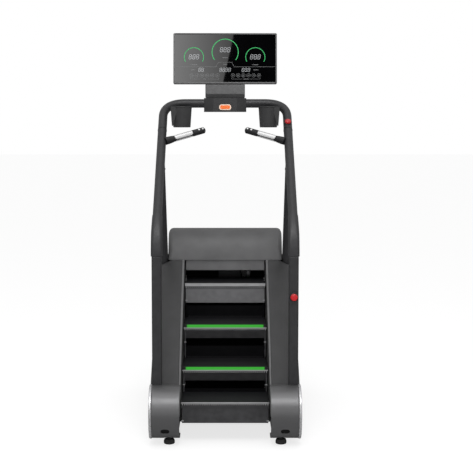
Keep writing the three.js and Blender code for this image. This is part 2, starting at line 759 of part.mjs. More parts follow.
// The mushroom stop faces the entry side, in front of the right post.
function stopKnob() {
  const geometry = pushHead(STOP.headRadius, 10 + STOP.travelRoom);
  geometry.rotateX(Math.PI);
  geometry.translate(SIDE_X, POST.y - POST.depth / 2, STOP.z);
  return solid(geometry);
}

function stemBore(depth) {
  return turned(rod(9.2, -depth, 5), 18);
}

function rightPost() {
  const bore = stemBore(12);
  bore.rotateX(Math.PI);
  bore.translate(SIDE_X, POST.y - POST.depth / 2, STOP.z);
  return cut(postColumn(0), solid(bore));
}

// Stands a piece drawn along +Y on the top of the right handrail, square to its slope.
function onHandrail(geometry) {
  geometry.translate(0, TUBE_RADIUS, 0);
  geometry.rotateX(Math.PI / 2 + RAIL_SLOPE);
  geometry.translate(SIDE_X, RAIL_BUTTON_Y, railHeight(RAIL_BUTTON_Y));
  return solid(geometry);
}

// ---------------------------------------------------------------- assembly

addPair('base_rail', baseRail(), MATERIAL.framePaint);
add('cross_tube_rear', crossTube(260, 60), MATERIAL.framePaint);
add('cross_tube_front', crossTube(1250, 60), MATERIAL.framePaint);
addPair('side_plate', structuralPlate(), MATERIAL.framePaint);

add('drive_shaft', driveShaft(), MATERIAL.steel);
for (const side of [1, -1]) {
  const wheel = add(`idler_sprocket_${side > 0 ? 'right' : 'left'}`, idlerSprocket(),
    MATERIAL.steel, side);
  wheel.position.set(0, IDLER.y, IDLER.z);
}
addPair('step_chain', stepChain(), MATERIAL.steel);
add('alternator', alternator(), MATERIAL.black);
add('alternator_rotor', alternatorRotor(), MATERIAL.steel);
add('drive_belt', driveBelt(), MATERIAL.rubber);

// The skirts lean with the chain: upright at both turns, leaning in on the straight run.
const LEAN = THREE.MathUtils.degToRad(40);
const RISERS = [
  { lean: 0, length: 86, drop: TOP_NOSING.z - nosing(2).z },
  { lean: LEAN, length: 76, drop: STEP.rise },
  { lean: LEAN, length: 76, drop: STEP.rise },
  { lean: 0, length: 84, drop: 0 },
];
RISERS.forEach(({ lean, length, drop }, index) => {
  const { y, z } = nosing(index + 1);
  const board = add(`tread_${index + 1}`, tread(), MATERIAL.tread);
  const skirt = add(`riser_${index + 1}`, riser(lean, length, drop), MATERIAL.tread);
  board.position.set(0, y, z);
  skirt.position.set(0, y, z);
});

addPair('side_casing', sideCasing(), MATERIAL.casing);
addPair('round_end', roundEnd(), MATERIAL.satinEnd);
add('cowl', cowl(), MATERIAL.casing);
add('cowl_lip', cowlLip(), MATERIAL.casing);
add('front_cover', frontCover(), MATERIAL.casing);
add('power_inlet', powerInlet(), MATERIAL.black);

add('post_right', rightPost(), MATERIAL.framePaint);
add('post_left', postColumn(0), MATERIAL.framePaint, -1);
addPair('post_cap', postCap(), MATERIAL.framePaint);
add('handrail_right', cut(handrail(), onHandrail(stemBore(12))), MATERIAL.framePaint);
add('handrail_left', handrail(), MATERIAL.framePaint, -1);
add('crossbar', crossbar(), MATERIAL.framePaint);
addPair('front_strut', frontStrut(), MATERIAL.framePaint);

add('control_pod', controlPod(), MATERIAL.black);
add('pod_button', podButton(), MATERIAL.orange).position.set(0, POD.rearY + 4, 1751);

const display = new THREE.Group();
display.position.set(0, CONSOLE.y, CONSOLE.z);
display.rotation.x = THREE.MathUtils.degToRad(CONSOLE.tilt);
machine.add(display);
display.add(add('console_shell', consoleShell(), MATERIAL.rim));
display.add(add('console_glass', consoleGlass(), MATERIAL.glass));
add('console_neck', consoleNeck(), MATERIAL.rim);

addPair('cup_holder', cupHolder(), MATERIAL.black);
addPair('hand_grip', placedGrip(), MATERIAL.black);
addPair('grip_button_inner', gripButton(BUTTON_PLACES[0]), MATERIAL.rim);
addPair('grip_button_tip', gripButton(BUTTON_PLACES[1]), MATERIAL.rim);

add('stop_knob', stopKnob(), MATERIAL.red);
add('rail_button', onHandrail(pushHead(18, 3)), MATERIAL.red);

for (const [end, y] of [['rear', FOOT.rearY], ['front', FOOT.frontY]]) {
  for (const [side, x] of [['right', FOOT.x], ['left', -FOOT.x]]) {
    add(`foot_${end}_${side}`, levellingFoot(), MATERIAL.rubber).position.set(x, y, 0);
  }
}
for (const [side, x] of [['right', WHEEL.x], ['left', -WHEEL.x]]) {
  add(`transport_wheel_${side}`, transportWheel(), MATERIAL.rubber)
    .position.set(x, WHEEL.y, WHEEL.z);
}

export default machine;
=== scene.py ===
"""A stair climber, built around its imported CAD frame. Metres, +Z up, -Y is the entry side."""

import json
import math

import bmesh
import bpy
from mathutils import Matrix, Vector


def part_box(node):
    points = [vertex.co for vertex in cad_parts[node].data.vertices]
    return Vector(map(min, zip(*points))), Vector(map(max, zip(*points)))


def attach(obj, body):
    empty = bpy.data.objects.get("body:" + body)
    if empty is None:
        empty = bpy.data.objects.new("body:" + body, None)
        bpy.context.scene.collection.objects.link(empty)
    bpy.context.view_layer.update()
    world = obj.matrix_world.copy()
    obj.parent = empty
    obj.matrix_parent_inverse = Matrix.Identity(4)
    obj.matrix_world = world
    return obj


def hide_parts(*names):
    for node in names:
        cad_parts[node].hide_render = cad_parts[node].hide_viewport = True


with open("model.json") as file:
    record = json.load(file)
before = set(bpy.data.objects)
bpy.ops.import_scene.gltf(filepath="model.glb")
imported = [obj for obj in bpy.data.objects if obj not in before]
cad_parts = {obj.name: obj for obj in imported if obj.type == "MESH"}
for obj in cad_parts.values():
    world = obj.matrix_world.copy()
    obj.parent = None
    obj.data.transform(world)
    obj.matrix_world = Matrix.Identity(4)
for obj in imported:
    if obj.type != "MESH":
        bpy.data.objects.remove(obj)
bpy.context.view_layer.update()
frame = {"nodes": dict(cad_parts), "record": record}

# --- places and sizes

MACHINE = "machine"
FLIGHT = "stair_flight"
X_AXIS = Vector((1, 0, 0))
Y_AXIS = Vector((0, 1, 0))
Z_AXIS = Vector((0, 0, 1))


def low(node):
    return Vector(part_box(node)[0])


def high(node):
    return Vector(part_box(node)[1])


def centre(node):
    return (low(node) + high(node)) / 2


TUBE = (high("crossbar").z - low("crossbar").z) / 2  # radius of the hoop
SIDE_X = centre("post_right").x  # middle of the right post and handrail
RAIL_SLOPE = math.radians(37.5)
RAIL_BACK = Vector((0, -math.cos(RAIL_SLOPE), -math.sin(RAIL_SLOPE)))
RAIL_UP = Vector((0, -math.sin(RAIL_SLOPE), math.cos(RAIL_SLOPE)))
CROSSBAR = centre("crossbar")
RAIL_CORNER = Vector((SIDE_X, CROSSBAR.y, CROSSBAR.z))
CORNER_LENGTH = 0.127  # reach of the bend between rail and crossbar
POST_TOP = high("post_right").z
POST_BEND = 0.25  # radius of the bend above a post
POST_TURN = math.pi / 2 - RAIL_SLOPE
POST_REAR = low("post_right").y
STEP_HALF = high("riser_1").x
STEP_RISE = low("tread_2").z - low("tread_3").z
CASING_INNER = low("side_casing_right").x
CASING_OUTER = 0.399
TRIM_INNER = 0.2365  # where the casings end over the chains
TRIM_MIDDLE = 0.2435  # middle of the casing trim
NOSING_HALF = 0.2312  # half the width of a nosing
DISC_INNER = 0.3820  # the bright end discs stand from here
DISC_OUTER = 0.3965  # to here
COWL_TOP = 1.031
STRUT_BEND_Z = 0.862
GRIP_ROOT = Vector((0.330, 0.037, 1.562))  # ends of the right grip's middle line
GRIP_TIP = Vector((0.118, 0.163, 1.621))
GRIP_RADIUS = 0.0173
RAIL_BUTTON_Y = low("rail_button").y + 0.0238
SIDES = ((1, "right"), (-1, "left"))
BODY_OF = {}
for body_name, body_nodes in frame["record"]["behaviour"]["bodies"].items():
    BODY_OF.update(dict.fromkeys(body_nodes, body_name))


def mirror_x(vector, sign):
    return Vector((vector.x * sign, vector.y, vector.z))


def mirrored(path, sign):
    return [mirror_x(point, sign) for point in path]


def rail_point(y):
    """The right handrail's middle line at that y."""
    return RAIL_CORNER + RAIL_BACK * ((RAIL_CORNER.y - y) / math.cos(RAIL_SLOPE))


# --- procedural materials


def add_node(tree, kind, inputs, **settings):
    """A new shader node. Its inputs are linked to sockets or set to plain values."""
    node = tree.nodes.new(kind)
    for key, value in settings.items():
        setattr(node, key, value)
    set_inputs(tree, node, inputs)
    return node


def set_inputs(tree, node, inputs):
    for key, value in inputs.items():
        if isinstance(value, bpy.types.NodeSocket):
            tree.links.new(value, node.inputs[key])
        else:
            node.inputs[key].default_value = value


def add_ramp(tree, source, stops):
    """The colour of a ramp through (position, colour) stops, the two end stops first."""
    ramp = add_node(tree, "ShaderNodeValToRGB", {"Fac": source})
    elements = ramp.color_ramp.elements
    for k, (position, color) in enumerate(stops):
        stop = elements[k] if k < 2 else elements.new(position)
        stop.position = position
        stop.color = (*color, 1)
    return ramp.outputs["Color"]


class Paint:
    """One node material: colour with soft variation, roughness variation and fine bump."""

    def __init__(self, name, color, roughness, metallic=0.0, coat=0.0, specular=0.5):
        self.material = bpy.data.materials.new(name)
        self.material.use_nodes = True
        self.tree = self.material.node_tree
        self.color = color
        self.roughness = roughness
        self.place = self.add("ShaderNodeTexCoord", {}).outputs["Object"]
        self.relief = None
        self.shade({"Base Color": (*color, 1), "Roughness": roughness, "Metallic": metallic,
                    "Specular IOR Level": specular, "Coat Weight": coat,
                    "Coat Roughness": 0.12})

    def add(self, kind, inputs, **settings):
        return add_node(self.tree, kind, inputs, **settings)

    def shade(self, inputs):
        set_inputs(self.tree, self.tree.nodes["Principled BSDF"], inputs)

    def noise(self, scale, detail=3.0, place=None):
        inputs = {"Vector": place or self.place, "Scale": scale, "Detail": detail}
        return self.add("ShaderNodeTexNoise", inputs).outputs["Fac"]

    def cells(self, scale):
        inputs = {"Vector": self.place, "Scale": scale}
        return self.add("ShaderNodeTexVoronoi", inputs).outputs["Distance"]

    def vary_color(self, source, spread):
        """Moves the colour a little darker and lighter with source."""
        dark = [c * (1 - spread) for c in self.color]
        light = [min(1.0, c * (1 + spread)) for c in self.color]
        self.shade({"Base Color": add_ramp(self.tree, source, ((0.3, dark), (0.7, light)))})

    def vary_roughness(self, source, spread):
        self.roughness_range(source, max(0.02, self.roughness - spread),
                             min(1.0, self.roughness + spread))

    def roughness_range(self, source, lowest, highest):
        inputs = {"Value": source, "To Min": lowest, "To Max": highest}
        self.shade({"Roughness": self.add("ShaderNodeMapRange", inputs).outputs["Result"]})

    def bump(self, source, strength, distance):
        inputs = {"Height": source, "Strength": strength, "Distance": distance}
        if self.relief:
            inputs["Normal"] = self.relief
        self.relief = self.add("ShaderNodeBump", inputs).outputs["Normal"]
        self.shade({"Normal": self.relief})
        return self


def powder_coat(name, color, roughness):
    paint = Paint(name, color, roughness, metallic=0.15)
    paint.vary_color(paint.noise(38), 0.10)
    paint.vary_roughness(paint.noise(90), 0.06)
    return paint.bump(paint.noise(700, 2.0), 0.12, 0.0004).material


def moulded(name, color, roughness, grain=0.18):
    """Injection-moulded plastic with a fine leathery grain."""
    paint = Paint(name, color, roughness)
    paint.vary_color(paint.noise(11, 5.0), 0.12)
    paint.vary_roughness(paint.noise(60), 0.05)
    return paint.bump(paint.cells(620), grain, 0.0003).material


def brushed(name, color, roughness):
    """Metal brushed along X, with metallic glints across the lines."""
    paint = Paint(name, color, roughness, metallic=1.0)
    drawn = paint.add("ShaderNodeMapping", {"Vector": paint.place, "Scale": (12, 900, 900)})
    lines = paint.noise(1.0, 4.0, drawn.outputs["Vector"])
    paint.vary_color(lines, 0.14)
    paint.vary_roughness(lines, 0.09)
    return paint.bump(lines, 0.10, 0.0002).material


def satin_paint(name, color, roughness):
    """Metallic lacquer: flakes in a dark silver base."""
    paint = Paint(name, color, roughness, metallic=0.62)
    paint.vary_color(paint.cells(1500), 0.10)
    paint.vary_roughness(paint.noise(45), 0.05)
    return paint.bump(paint.noise(420), 0.04, 0.0002).material


def rubbery(name, color):
    paint = Paint(name, color, 0.82)
    paint.vary_color(paint.noise(50), 0.25)
    return paint.bump(paint.noise(380, 4.0), 0.25, 0.0005).material


def polished(name, color, roughness):
    """Glossy plastic under a thin clear coat."""
    paint = Paint(name, color, roughness, coat=0.6)
    paint.vary_color(paint.noise(24), 0.08)
    paint.vary_roughness(paint.noise(150), 0.04)
    return paint.bump(paint.noise(260), 0.03, 0.0002).material


def mirror_glass(name, color):
    """Flat black glass with the faintest smears."""
    paint = Paint(name, color, 0.015)
    paint.vary_color(paint.noise(9), 0.3)
    paint.roughness_range(paint.noise(14, 5.0), 0.008, 0.030)
    return paint.material


def glowing(name, color, strength):
    paint = Paint(name, [c * 0.5 for c in color], 0.35)
    paint.vary_color(paint.noise(120), 0.15)
    paint.shade({"Emission Color": (*color, 1), "Emission Strength": strength})
    return paint.material


def diamond_plastic(name, color, roughness, pitch, specular=0.5):
    """Anti-slip moulding: crossed diagonal ridges over a fine grain."""
    paint = Paint(name, color, roughness, specular=specular)
    paint.vary_color(paint.noise(30), 0.2)
    ridges = []
    for turn in (math.radians(45), math.radians(-45)):
        turned = paint.add("ShaderNodeMapping", {"Vector": paint.place, "Rotation": [turn] * 3})
        wave = {"Vector": turned.outputs["Vector"], "Scale": 1 / pitch}
        ridges.append(paint.add("ShaderNodeTexWave", wave, bands_direction="X").outputs["Fac"])
    higher = paint.add("ShaderNodeMath", dict(enumerate(ridges)), operation="MAXIMUM")
    paint.bump(higher.outputs["Value"], 0.5, 0.0008)
    return paint.bump(paint.noise(600), 0.15, 0.0002).material


FRAME_PAINT = powder_coat("charcoal_powder_coat", (0.032, 0.032, 0.034), 0.42)
CASING = moulded("charcoal_moulding", (0.034, 0.034, 0.035), 0.46)
COWL = moulded("cowl_moulding", (0.090, 0.090, 0.092), 0.5)
CASING_LIGHT = moulded("grey_moulding", (0.125, 0.125, 0.128), 0.5)
DARK = moulded("black_moulding", (0.014, 0.014, 0.015), 0.42)
# Near-black paint for painted shade: on the panels inside the machine, behind the combs, in the
# end recesses and in the display vents.
PAINTED_SHADE_BLACK = moulded("painted_shade_black", (0.004, 0.004, 0.004), 0.9, 0.05)
SATIN = satin_paint("satin_dark_silver", (0.155, 0.155, 0.158), 0.37)
SILVER = satin_paint("silver_trim", (0.62, 0.62, 0.63), 0.27)
STEEL = brushed("machined_steel", (0.5, 0.5, 0.52), 0.34)
SENSOR = satin_paint("stainless_sensor", (0.92, 0.92, 0.93), 0.30)
NOSING = powder_coat("satin_aluminium", (0.34, 0.34, 0.345), 0.4)
STEP_PLASTIC = diamond_plastic("step_moulding", (0.006, 0.006, 0.0075), 0.62, 0.009, 0.35)
SKIRT = diamond_plastic("skirt_moulding", (0.036, 0.036, 0.038), 0.5, 0.006)
# A paler copy of the skirt moulding: painted light on the skirts of steps 2 and 3.
SKIRT_PAINTED_LIGHTER = diamond_plastic("skirt_moulding_painted_lighter", (0.060, 0.060, 0.063), 0.5, 0.006)
# Near-black riser moulding: painted shade on the lower part of risers 1 to 3.
RISER_PAINTED_SHADE = diamond_plastic("riser_moulding_painted_shade", (0.0025, 0.0025, 0.003), 0.75, 0.006, 0.12)
# A much paler skirt paint: a painted highlight on the skirt of step 1.
SKIRT_PAINTED_HIGHLIGHT = powder_coat("skirt_painted_highlight", (0.15, 0.15, 0.155), 0.45)
# Light grey on the casing's real rounded inner edge: a painted highlight along it.
CASING_EDGE_PAINTED_HIGHLIGHT = powder_coat("casing_edge_painted_highlight", (0.13, 0.13, 0.132), 0.4)
RUBBER = rubbery("black_rubber", (0.016, 0.016, 0.016))
RIM = powder_coat("grey_rim", (0.12, 0.12, 0.122), 0.38)
NECK = powder_coat("grey_neck", (0.130, 0.130, 0.132), 0.42)
GLASS = mirror_glass("black_display", (0.0012, 0.0012, 0.0015))
RED = polished("red_button", (0.46, 0.008, 0.012), 0.32)
ORANGE = polished("orange_button", (0.85, 0.16, 0.02), 0.35)
PALE = polished("pale_border", (0.80, 0.62, 0.50), 0.4)
GREEN_LIGHT = glowing("green_step_light", (0.035, 0.36, 0.03), 0.7)
GREEN_MARK = glowing("green_display_mark", (0.03, 0.45, 0.12), 0.55)
WHITE_MARK = glowing("white_display_mark", (0.62, 0.64, 0.66), 0.6)
GREY_MARK = glowing("grey_display_mark", (0.22, 0.225, 0.23), 0.4)
WHITE_DOT = polished("white_button_face", (0.85, 0.85, 0.85), 0.35)


# --- mesh helpers


def finish_mesh(mesh, sharp_degrees=32):
    for face in mesh.polygons:
        face.use_smooth = True
    mesh.set_sharp_from_angle(angle=math.radians(sharp_degrees))


def piece(name, bm, material, body=MACHINE, slot=None, sharp_degrees=32):
    """Makes an object from a bmesh, gives it its material and lets it ride on a body.

    A piece with the name of a CAD node stands for that node, on its body. The slot argument is
    not used.
    """
    node = name if name in frame["nodes"] else None
    if node:
        name = node + "_skin"
        body = BODY_OF[node]
    bmesh.ops.recalc_face_normals(bm, faces=bm.faces)
    mesh = bpy.data.meshes.new(name)
    bm.to_mesh(mesh)
    bm.free()
    finish_mesh(mesh, sharp_degrees)
    mesh.materials.append(material)
    obj = bpy.data.objects.new(name, mesh)
    bpy.context.scene.collection.objects.link(obj)
    obj.modifiers.new("flat_faces_stay_flat", "WEIGHTED_NORMAL").keep_sharp = True
    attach(obj, body)
    if node:
        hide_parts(node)
    return obj


def refined(node, material, bevel=0.0015, segments=2, sharp_degrees=32):
    """A copy of a CAD node with merged facets and softened edges, standing for it."""
    bm = bmesh.new()
    bm.from_mesh(frame["nodes"][node].data)
    bmesh.ops.remove_doubles(bm, verts=bm.verts, dist=1e-5)
    bmesh.ops.dissolve_limit(
        bm, angle_limit=math.radians(0.5), verts=bm.verts, edges=bm.edges)
    if bevel:
        limit = math.radians(28)
        edges = [e for e in bm.edges if len(e.link_faces) == 2 and e.calc_face_angle() > limit]
        bmesh.ops.bevel(bm, geom=edges, offset=bevel, segments=segments, profile=0.6,
                        affect="EDGES", clamp_overlap=True)
    bmesh.ops.triangulate(bm, faces=[f for f in bm.faces if len(f.verts) > 4])
    return piece(node, bm, material, sharp_degrees=sharp_degrees)


def bridge(bm, first, second):
    """Joins two rings of equal length with quads."""
    for k in range(len(first)):
        j = (k + 1) % len(first)
        bm.faces.new((first[k], first[j], second[j], second[k]))


def lathe_into(bm, profile, matrix, segments=72):
    """Turns (radius, height) points about local Z; ends on the axis are closed by fans."""
    rings = []
    for radius, height in profile:
        if radius < 1e-6:
            rings.append([bm.verts.new(matrix @ Vector((0, 0, height)))])
            continue
        ring = []
        for k in range(segments):
            angle = 2 * math.pi * k / segments
            place = Vector((radius * math.cos(angle), radius * math.sin(angle), height))
            ring.append(bm.verts.new(matrix @ place))
        rings.append(ring)
    for first, second in zip(rings, rings[1:]):
        if len(first) == len(second):
            bridge(bm, first, second)
            continue
        for k in range(segments):
            j = (k + 1) % segments
            if len(first) == 1:
                bm.faces.new((first[0], second[k], second[j]))
            else:
                bm.faces.new((first[k], first[j], second[0]))


def facing(place, direction):
    """A matrix at place whose Z looks along direction."""
    z = direction.normalized()
    x = Z_AXIS.cross(z)
    if x.length < 1e-4:
        x = X_AXIS.copy()
    x.normalize()
    y = z.cross(x)
    return Matrix.Translation(place) @ Matrix((x, y, z)).transposed().to_4x4()


def lathe(name, profile, place, direction, material, segments=72, **where):
    bm = bmesh.new()
    lathe_into(bm, profile, facing(place, direction), segments)
    return piece(name, bm, material, **where)


def rounded(corner_points, radius, steps=5):
    """Rounds the corners of a profile or outline between its first and last point."""
    points = [Vector(p) for p in corner_points]
    result = [points[0]]
    for before, corner, after in zip(points, points[1:], points[2:]):
        reach = min(radius, (before - corner).length / 2.1, (after - corner).length / 2.1)
        start = corner + (before - corner).normalized() * reach
        end = corner + (after - corner).normalized() * reach
        result += bezier(start, corner, end, steps)
    return [tuple(p) for p in result + [points[-1]]]


def swept(name, path, section, material, **where):
    """Sweeps section(t), a list of (a, b) offsets, along a path of points."""
    tangents = []
    for k in range(len(path)):
        ahead = path[min(k + 1, len(path) - 1)] - path[max(k - 1, 0)]
        tangents.append(ahead.normalized())
    side = X_AXIS - tangents[0] * X_AXIS.dot(tangents[0])
    if side.length < 0.2:
        side = Y_AXIS - tangents[0] * Y_AXIS.dot(tangents[0])
    side.normalize()
    bm = bmesh.new()
    rings = []
    for k, (point, tangent) in enumerate(zip(path, tangents)):
        side = (side - tangent * side.dot(tangent)).normalized()
        other = tangent.cross(side)
        offsets = section(k / (len(path) - 1))
        rings.append([bm.verts.new(point + side * a + other * b) for a, b in offsets])
    for first, second in zip(rings, rings[1:]):
        bridge(bm, first, second)
    bm.faces.new(list(reversed(rings[0])))
    bm.faces.new(rings[-1])
    return piece(name, bm, material, **where)


def superellipse(a, b, power, count):
    """An outline between a rounded box (high power) and an ellipse (power 2)."""
    points = []
    for k in range(count):
        c, s = math.cos(2 * math.pi * k / count), math.sin(2 * math.pi * k / count)
        points.append((a * math.copysign(abs(c) ** (2 / power), c),
                       b * math.copysign(abs(s) ** (2 / power), s)))
    return points


def straight(start, end, count=2):
    return [start.lerp(end, k / (count - 1)) for k in range(count)]


def bezier(start, control, end, count=24):
    points = []
    for k in range(count + 1):
        t = k / count
        points.append(start * (1 - t) ** 2 + control * 2 * t * (1 - t) + end * t * t)
    return points


def prism_into(bm, outline, matrix, depth):
    """Pushes an outline in local XY out along local Z."""
    front = [bm.verts.new(matrix @ Vector((x, y, 0))) for x, y in outline]
    back = [bm.verts.new(matrix @ Vector((x, y, depth))) for x, y in outline]
    bm.faces.new(list(reversed(front)))
    bm.faces.new(back)
    bridge(bm, front, back)


def box_into(bm, lowest, highest):
    size = Vector(highest) - Vector(lowest)
    middle = (Vector(highest) + Vector(lowest)) / 2
    matrix = Matrix.Translation(middle) @ Matrix.Diagonal((*size, 1))
    bmesh.ops.create_cube(bm, size=1, matrix=matrix)


def soften(bm, width, segments=2):
    """Bevels the sharp edges."""
    edges = [e for e in bm.edges if len(e.link_faces) == 2
             and e.calc_face_angle() > math.radians(35)]
    bmesh.ops.bevel(bm, geom=edges, offset=width, segments=segments, profile=0.6,
                    affect="EDGES", clamp_overlap=True)


def block(name, lowest, highest, soft, material, segments=2, **where):
    """A box with soft edges."""
    bm = bmesh.new()
    box_into(bm, lowest, highest)
    soften(bm, soft, segments)
    piece(name, bm, material, **where)


def plate(name, outline, matrix, depth, soft, material, segments=2, **where):
    """An outline pushed out along local Z, with soft edges."""
    bm = bmesh.new()
    prism_into(bm, outline, matrix, depth)
    soften(bm, soft, segments)
    piece(name, bm, material, **where)


def rounded_box(half_width, half_height, radius, steps=8):
    """The outline of a rectangle with round corners."""
    outline = []
    for cx, cy, start in ((1, 1, 0), (-1, 1, 90), (-1, -1, 180), (1, -1, 270)):
        for k in range(steps + 1):
            angle = math.radians(start + 90 * k / steps)
            outline.append((cx * (half_width - radius) + radius * math.cos(angle),
                            cy * (half_height - radius) + radius * math.sin(angle)))
    return outline


def carve(obj, bm):
    """Cuts a closed bmesh out of a piece."""
    mesh = bpy.data.meshes.new("cutter")
    bmesh.ops.recalc_face_normals(bm, faces=bm.faces)
    bm.to_mesh(mesh)
    bm.free()
    cutter = bpy.data.objects.new("cutter", mesh)
    bpy.context.scene.collection.objects.link(cutter)
    cut = obj.modifiers.new("cut", "BOOLEAN")
    cut.operation = "DIFFERENCE"
    cut.solver = "EXACT"
    cut.object = cutter
    bpy.context.view_layer.update()
    result = bpy.data.meshes.new_from_object(
        obj.evaluated_get(bpy.context.evaluated_depsgraph_get()))
    obj.modifiers.remove(cut)
    obj.data = result
    finish_mesh(result)
    bpy.data.objects.remove(cutter)


def carve_box(obj, sign, lowest, highest):
    """Cuts out a box that is given for the right side and mirrored for the left."""
    x0, x1 = sorted((sign * lowest[0], sign * highest[0]))
    bm = bmesh.new()
    box_into(bm, (x0, *lowest[1:]), (x1, *highest[1:]))
    carve(obj, bm)


# --- base and drive

def base_and_drive():
    for _, side in SIDES:
        refined(f"base_rail_{side}", FRAME_PAINT, 0.003)
        refined(f"side_plate_{side}", CASING, 0.001)
        refined(f"idler_sprocket_{side}", STEEL, 0.0006)
        refined(f"step_chain_{side}", RUBBER, 0.0008)
    for end in ("rear", "front"):
        refined(f"cross_tube_{end}", FRAME_PAINT, 0.003)
    refined("drive_shaft", STEEL, 0.0008)
    refined("alternator_rotor", STEEL, 0.001)
    refined("alternator", DARK, 0.003)
    refined("drive_belt", RUBBER, 0.0005)
    refined("power_inlet", DARK, 0.001)
    inner_panels()


def inner_panels():
    """Thin panels that close the machine from below and in front, so it is dark inside. Their
    near-black colour is painted shade.
    """
    rear = low("cross_tube_rear").y + 0.03
    front = low("front_cover").y
    screen = high("cross_tube_front").y + 0.012
    panels = {
        "belly_pan": ((rear, 0.051), (front, 0.055)),
        "rear_screen": ((screen, 0.060), (screen + 0.004, 0.600)),
        "front_screen": ((front - 0.0035, 0.060), (front - 0.0005, 0.855)),
    }
    for name, (lowest, highest) in panels.items():
        block(name, (-TRIM_MIDDLE, *lowest), (TRIM_MIDDLE, *highest), 0.0008, PAINTED_SHADE_BLACK, 1,
              slot="casing")


def feet_and_wheels():
    for end in ("rear", "front"):
        for _, side in SIDES:
            levelling_foot(f"foot_{end}_{side}")
    for sign, side in SIDES:
        transport_wheel(f"transport_wheel_{side}", X_AXIS * sign)


def levelling_foot(node):
    """A rubber pad with a nut and a threaded stem on it."""
    middle = centre(node)
    pad = [(0.020, 0), (0.0285, 0.003), (0.0293, 0.016), (0.0255, 0.027)]
    stem = [(0.012, 0.0278), (0.012, 0.034), (0.0078, 0.034), (0.0078, 0.0595), (0, 0.0595)]
    profile = [(0, 0), (0.020, 0)] + rounded(pad, 0.004)[1:] + stem
    lathe(node, profile, Vector((middle.x, middle.y, 0)), Z_AXIS, RUBBER)


def transport_wheel(node, axis):
    """A small wheel with a dished web between its hub and its rubber rim."""
    half = (high(node).x - low(node).x) / 2
    outer = (high(node).z - low(node).z) / 2
    rim = outer - 0.008
    face = [(0.0066, half - 0.003), (0.016, half - 0.001), (rim, half - 0.004),
            (rim + 0.002, half), (outer - 0.003, half - 0.001), (outer, half - 0.006)]
    other_face = [(radius, -height) for radius, height in face]
    lathe(node, other_face + face[::-1] + other_face[:1], centre(node), axis, RUBBER)


# --- the flight of steps

def diamond_studs(bm, half_width, depth_from, depth_to, pitch, matrix):
    """Rows of low pyramids, offset row by row, on the local XY plane."""
    height = 0.0007
    rows = int((depth_to - depth_from) / pitch)
    count = int(half_width / pitch)
    for row in range(rows):
        y = depth_from + (row + 0.5) * pitch
        offset = (row % 2) * pitch
        for k in range(-count // 2 * 2, count, 2):
            x = k * pitch + offset
            if abs(x) > half_width - pitch:
                continue
            corners = [(x - pitch * 0.85, y), (x, y - pitch * 0.62), (x + pitch * 0.85, y),
                       (x, y + pitch * 0.62)]
            ring = [bm.verts.new(matrix @ Vector((a, b, 0))) for a, b in corners]
            tip = bm.verts.new(matrix @ Vector((x, y, height)))
            for j in range(4):
                bm.faces.new((ring[j], ring[(j + 1) % 4], tip))
            bm.faces.new(list(reversed(ring)))


def knuckles(bm, half_width, place, size, pitch):
    """A row of hinge knuckles along X."""
    count = int(half_width / pitch)
    for k in range(-count, count + 1):
        x = k * pitch
        if abs(x) + size[0] / 2 > half_width:
            continue
        start = Vector((x - size[0] / 2, place.y, place.z))
        box_into(bm, start, start + Vector(size))


def step(index):
    """A tread with its nosing and hinge comb, and the riser that hangs from it."""
    tread, riser = f"tread_{index}", f"riser_{index}"
    nose = Vector((0, low(tread).y, high(tread).z))
    refined(tread, STEP_PLASTIC, 0.0015)
    studs = bmesh.new()
    diamond_studs(studs, STEP_HALF - 0.006, 0.020, 0.240, 0.0105, Matrix.Translation(nose))
    piece(f"tread_{index}_studs", studs, STEP_PLASTIC, FLIGHT, "step")
    nosing(index, nose)
    # The risers are alike; only painted light sets their skirts apart: a painted highlight on
    # step 1, a paler grey on steps 2 and 3.
    skirt = refined(riser, {1: SKIRT_PAINTED_HIGHLIGHT, 4: SKIRT}.get(index, SKIRT_PAINTED_LIGHTER), 0.0008)
    if index < 4:
        # The lower part of risers 1 to 3 gets painted shade.
        paint_shade_below(skirt, low(riser).z + 0.072, RISER_PAINTED_SHADE)
        seam = bmesh.new()
        knuckles(seam, STEP_HALF - 0.008, Vector((0, nose.y + 0.0075, low(riser).z + 0.0005)),
                 (0.0065, 0.0044, 0.006), 0.013)
        piece(f"riser_seam_{index}", seam, DARK, FLIGHT, "step")
    else:
        studs = bmesh.new()
        face = facing(Vector((0, low(riser).y - 0.0002, low(riser).z)), -Y_AXIS)
        diamond_studs(studs, STEP_HALF - 0.006, 0.004, 0.080, 0.0085, face)
        piece("lowest_riser_studs", studs, SKIRT, FLIGHT, "step")
    for sign, side in SIDES:
        skirt_clip(f"skirt_clip_{index}_{side}", sign, low(riser).y, nose.z - 0.100)


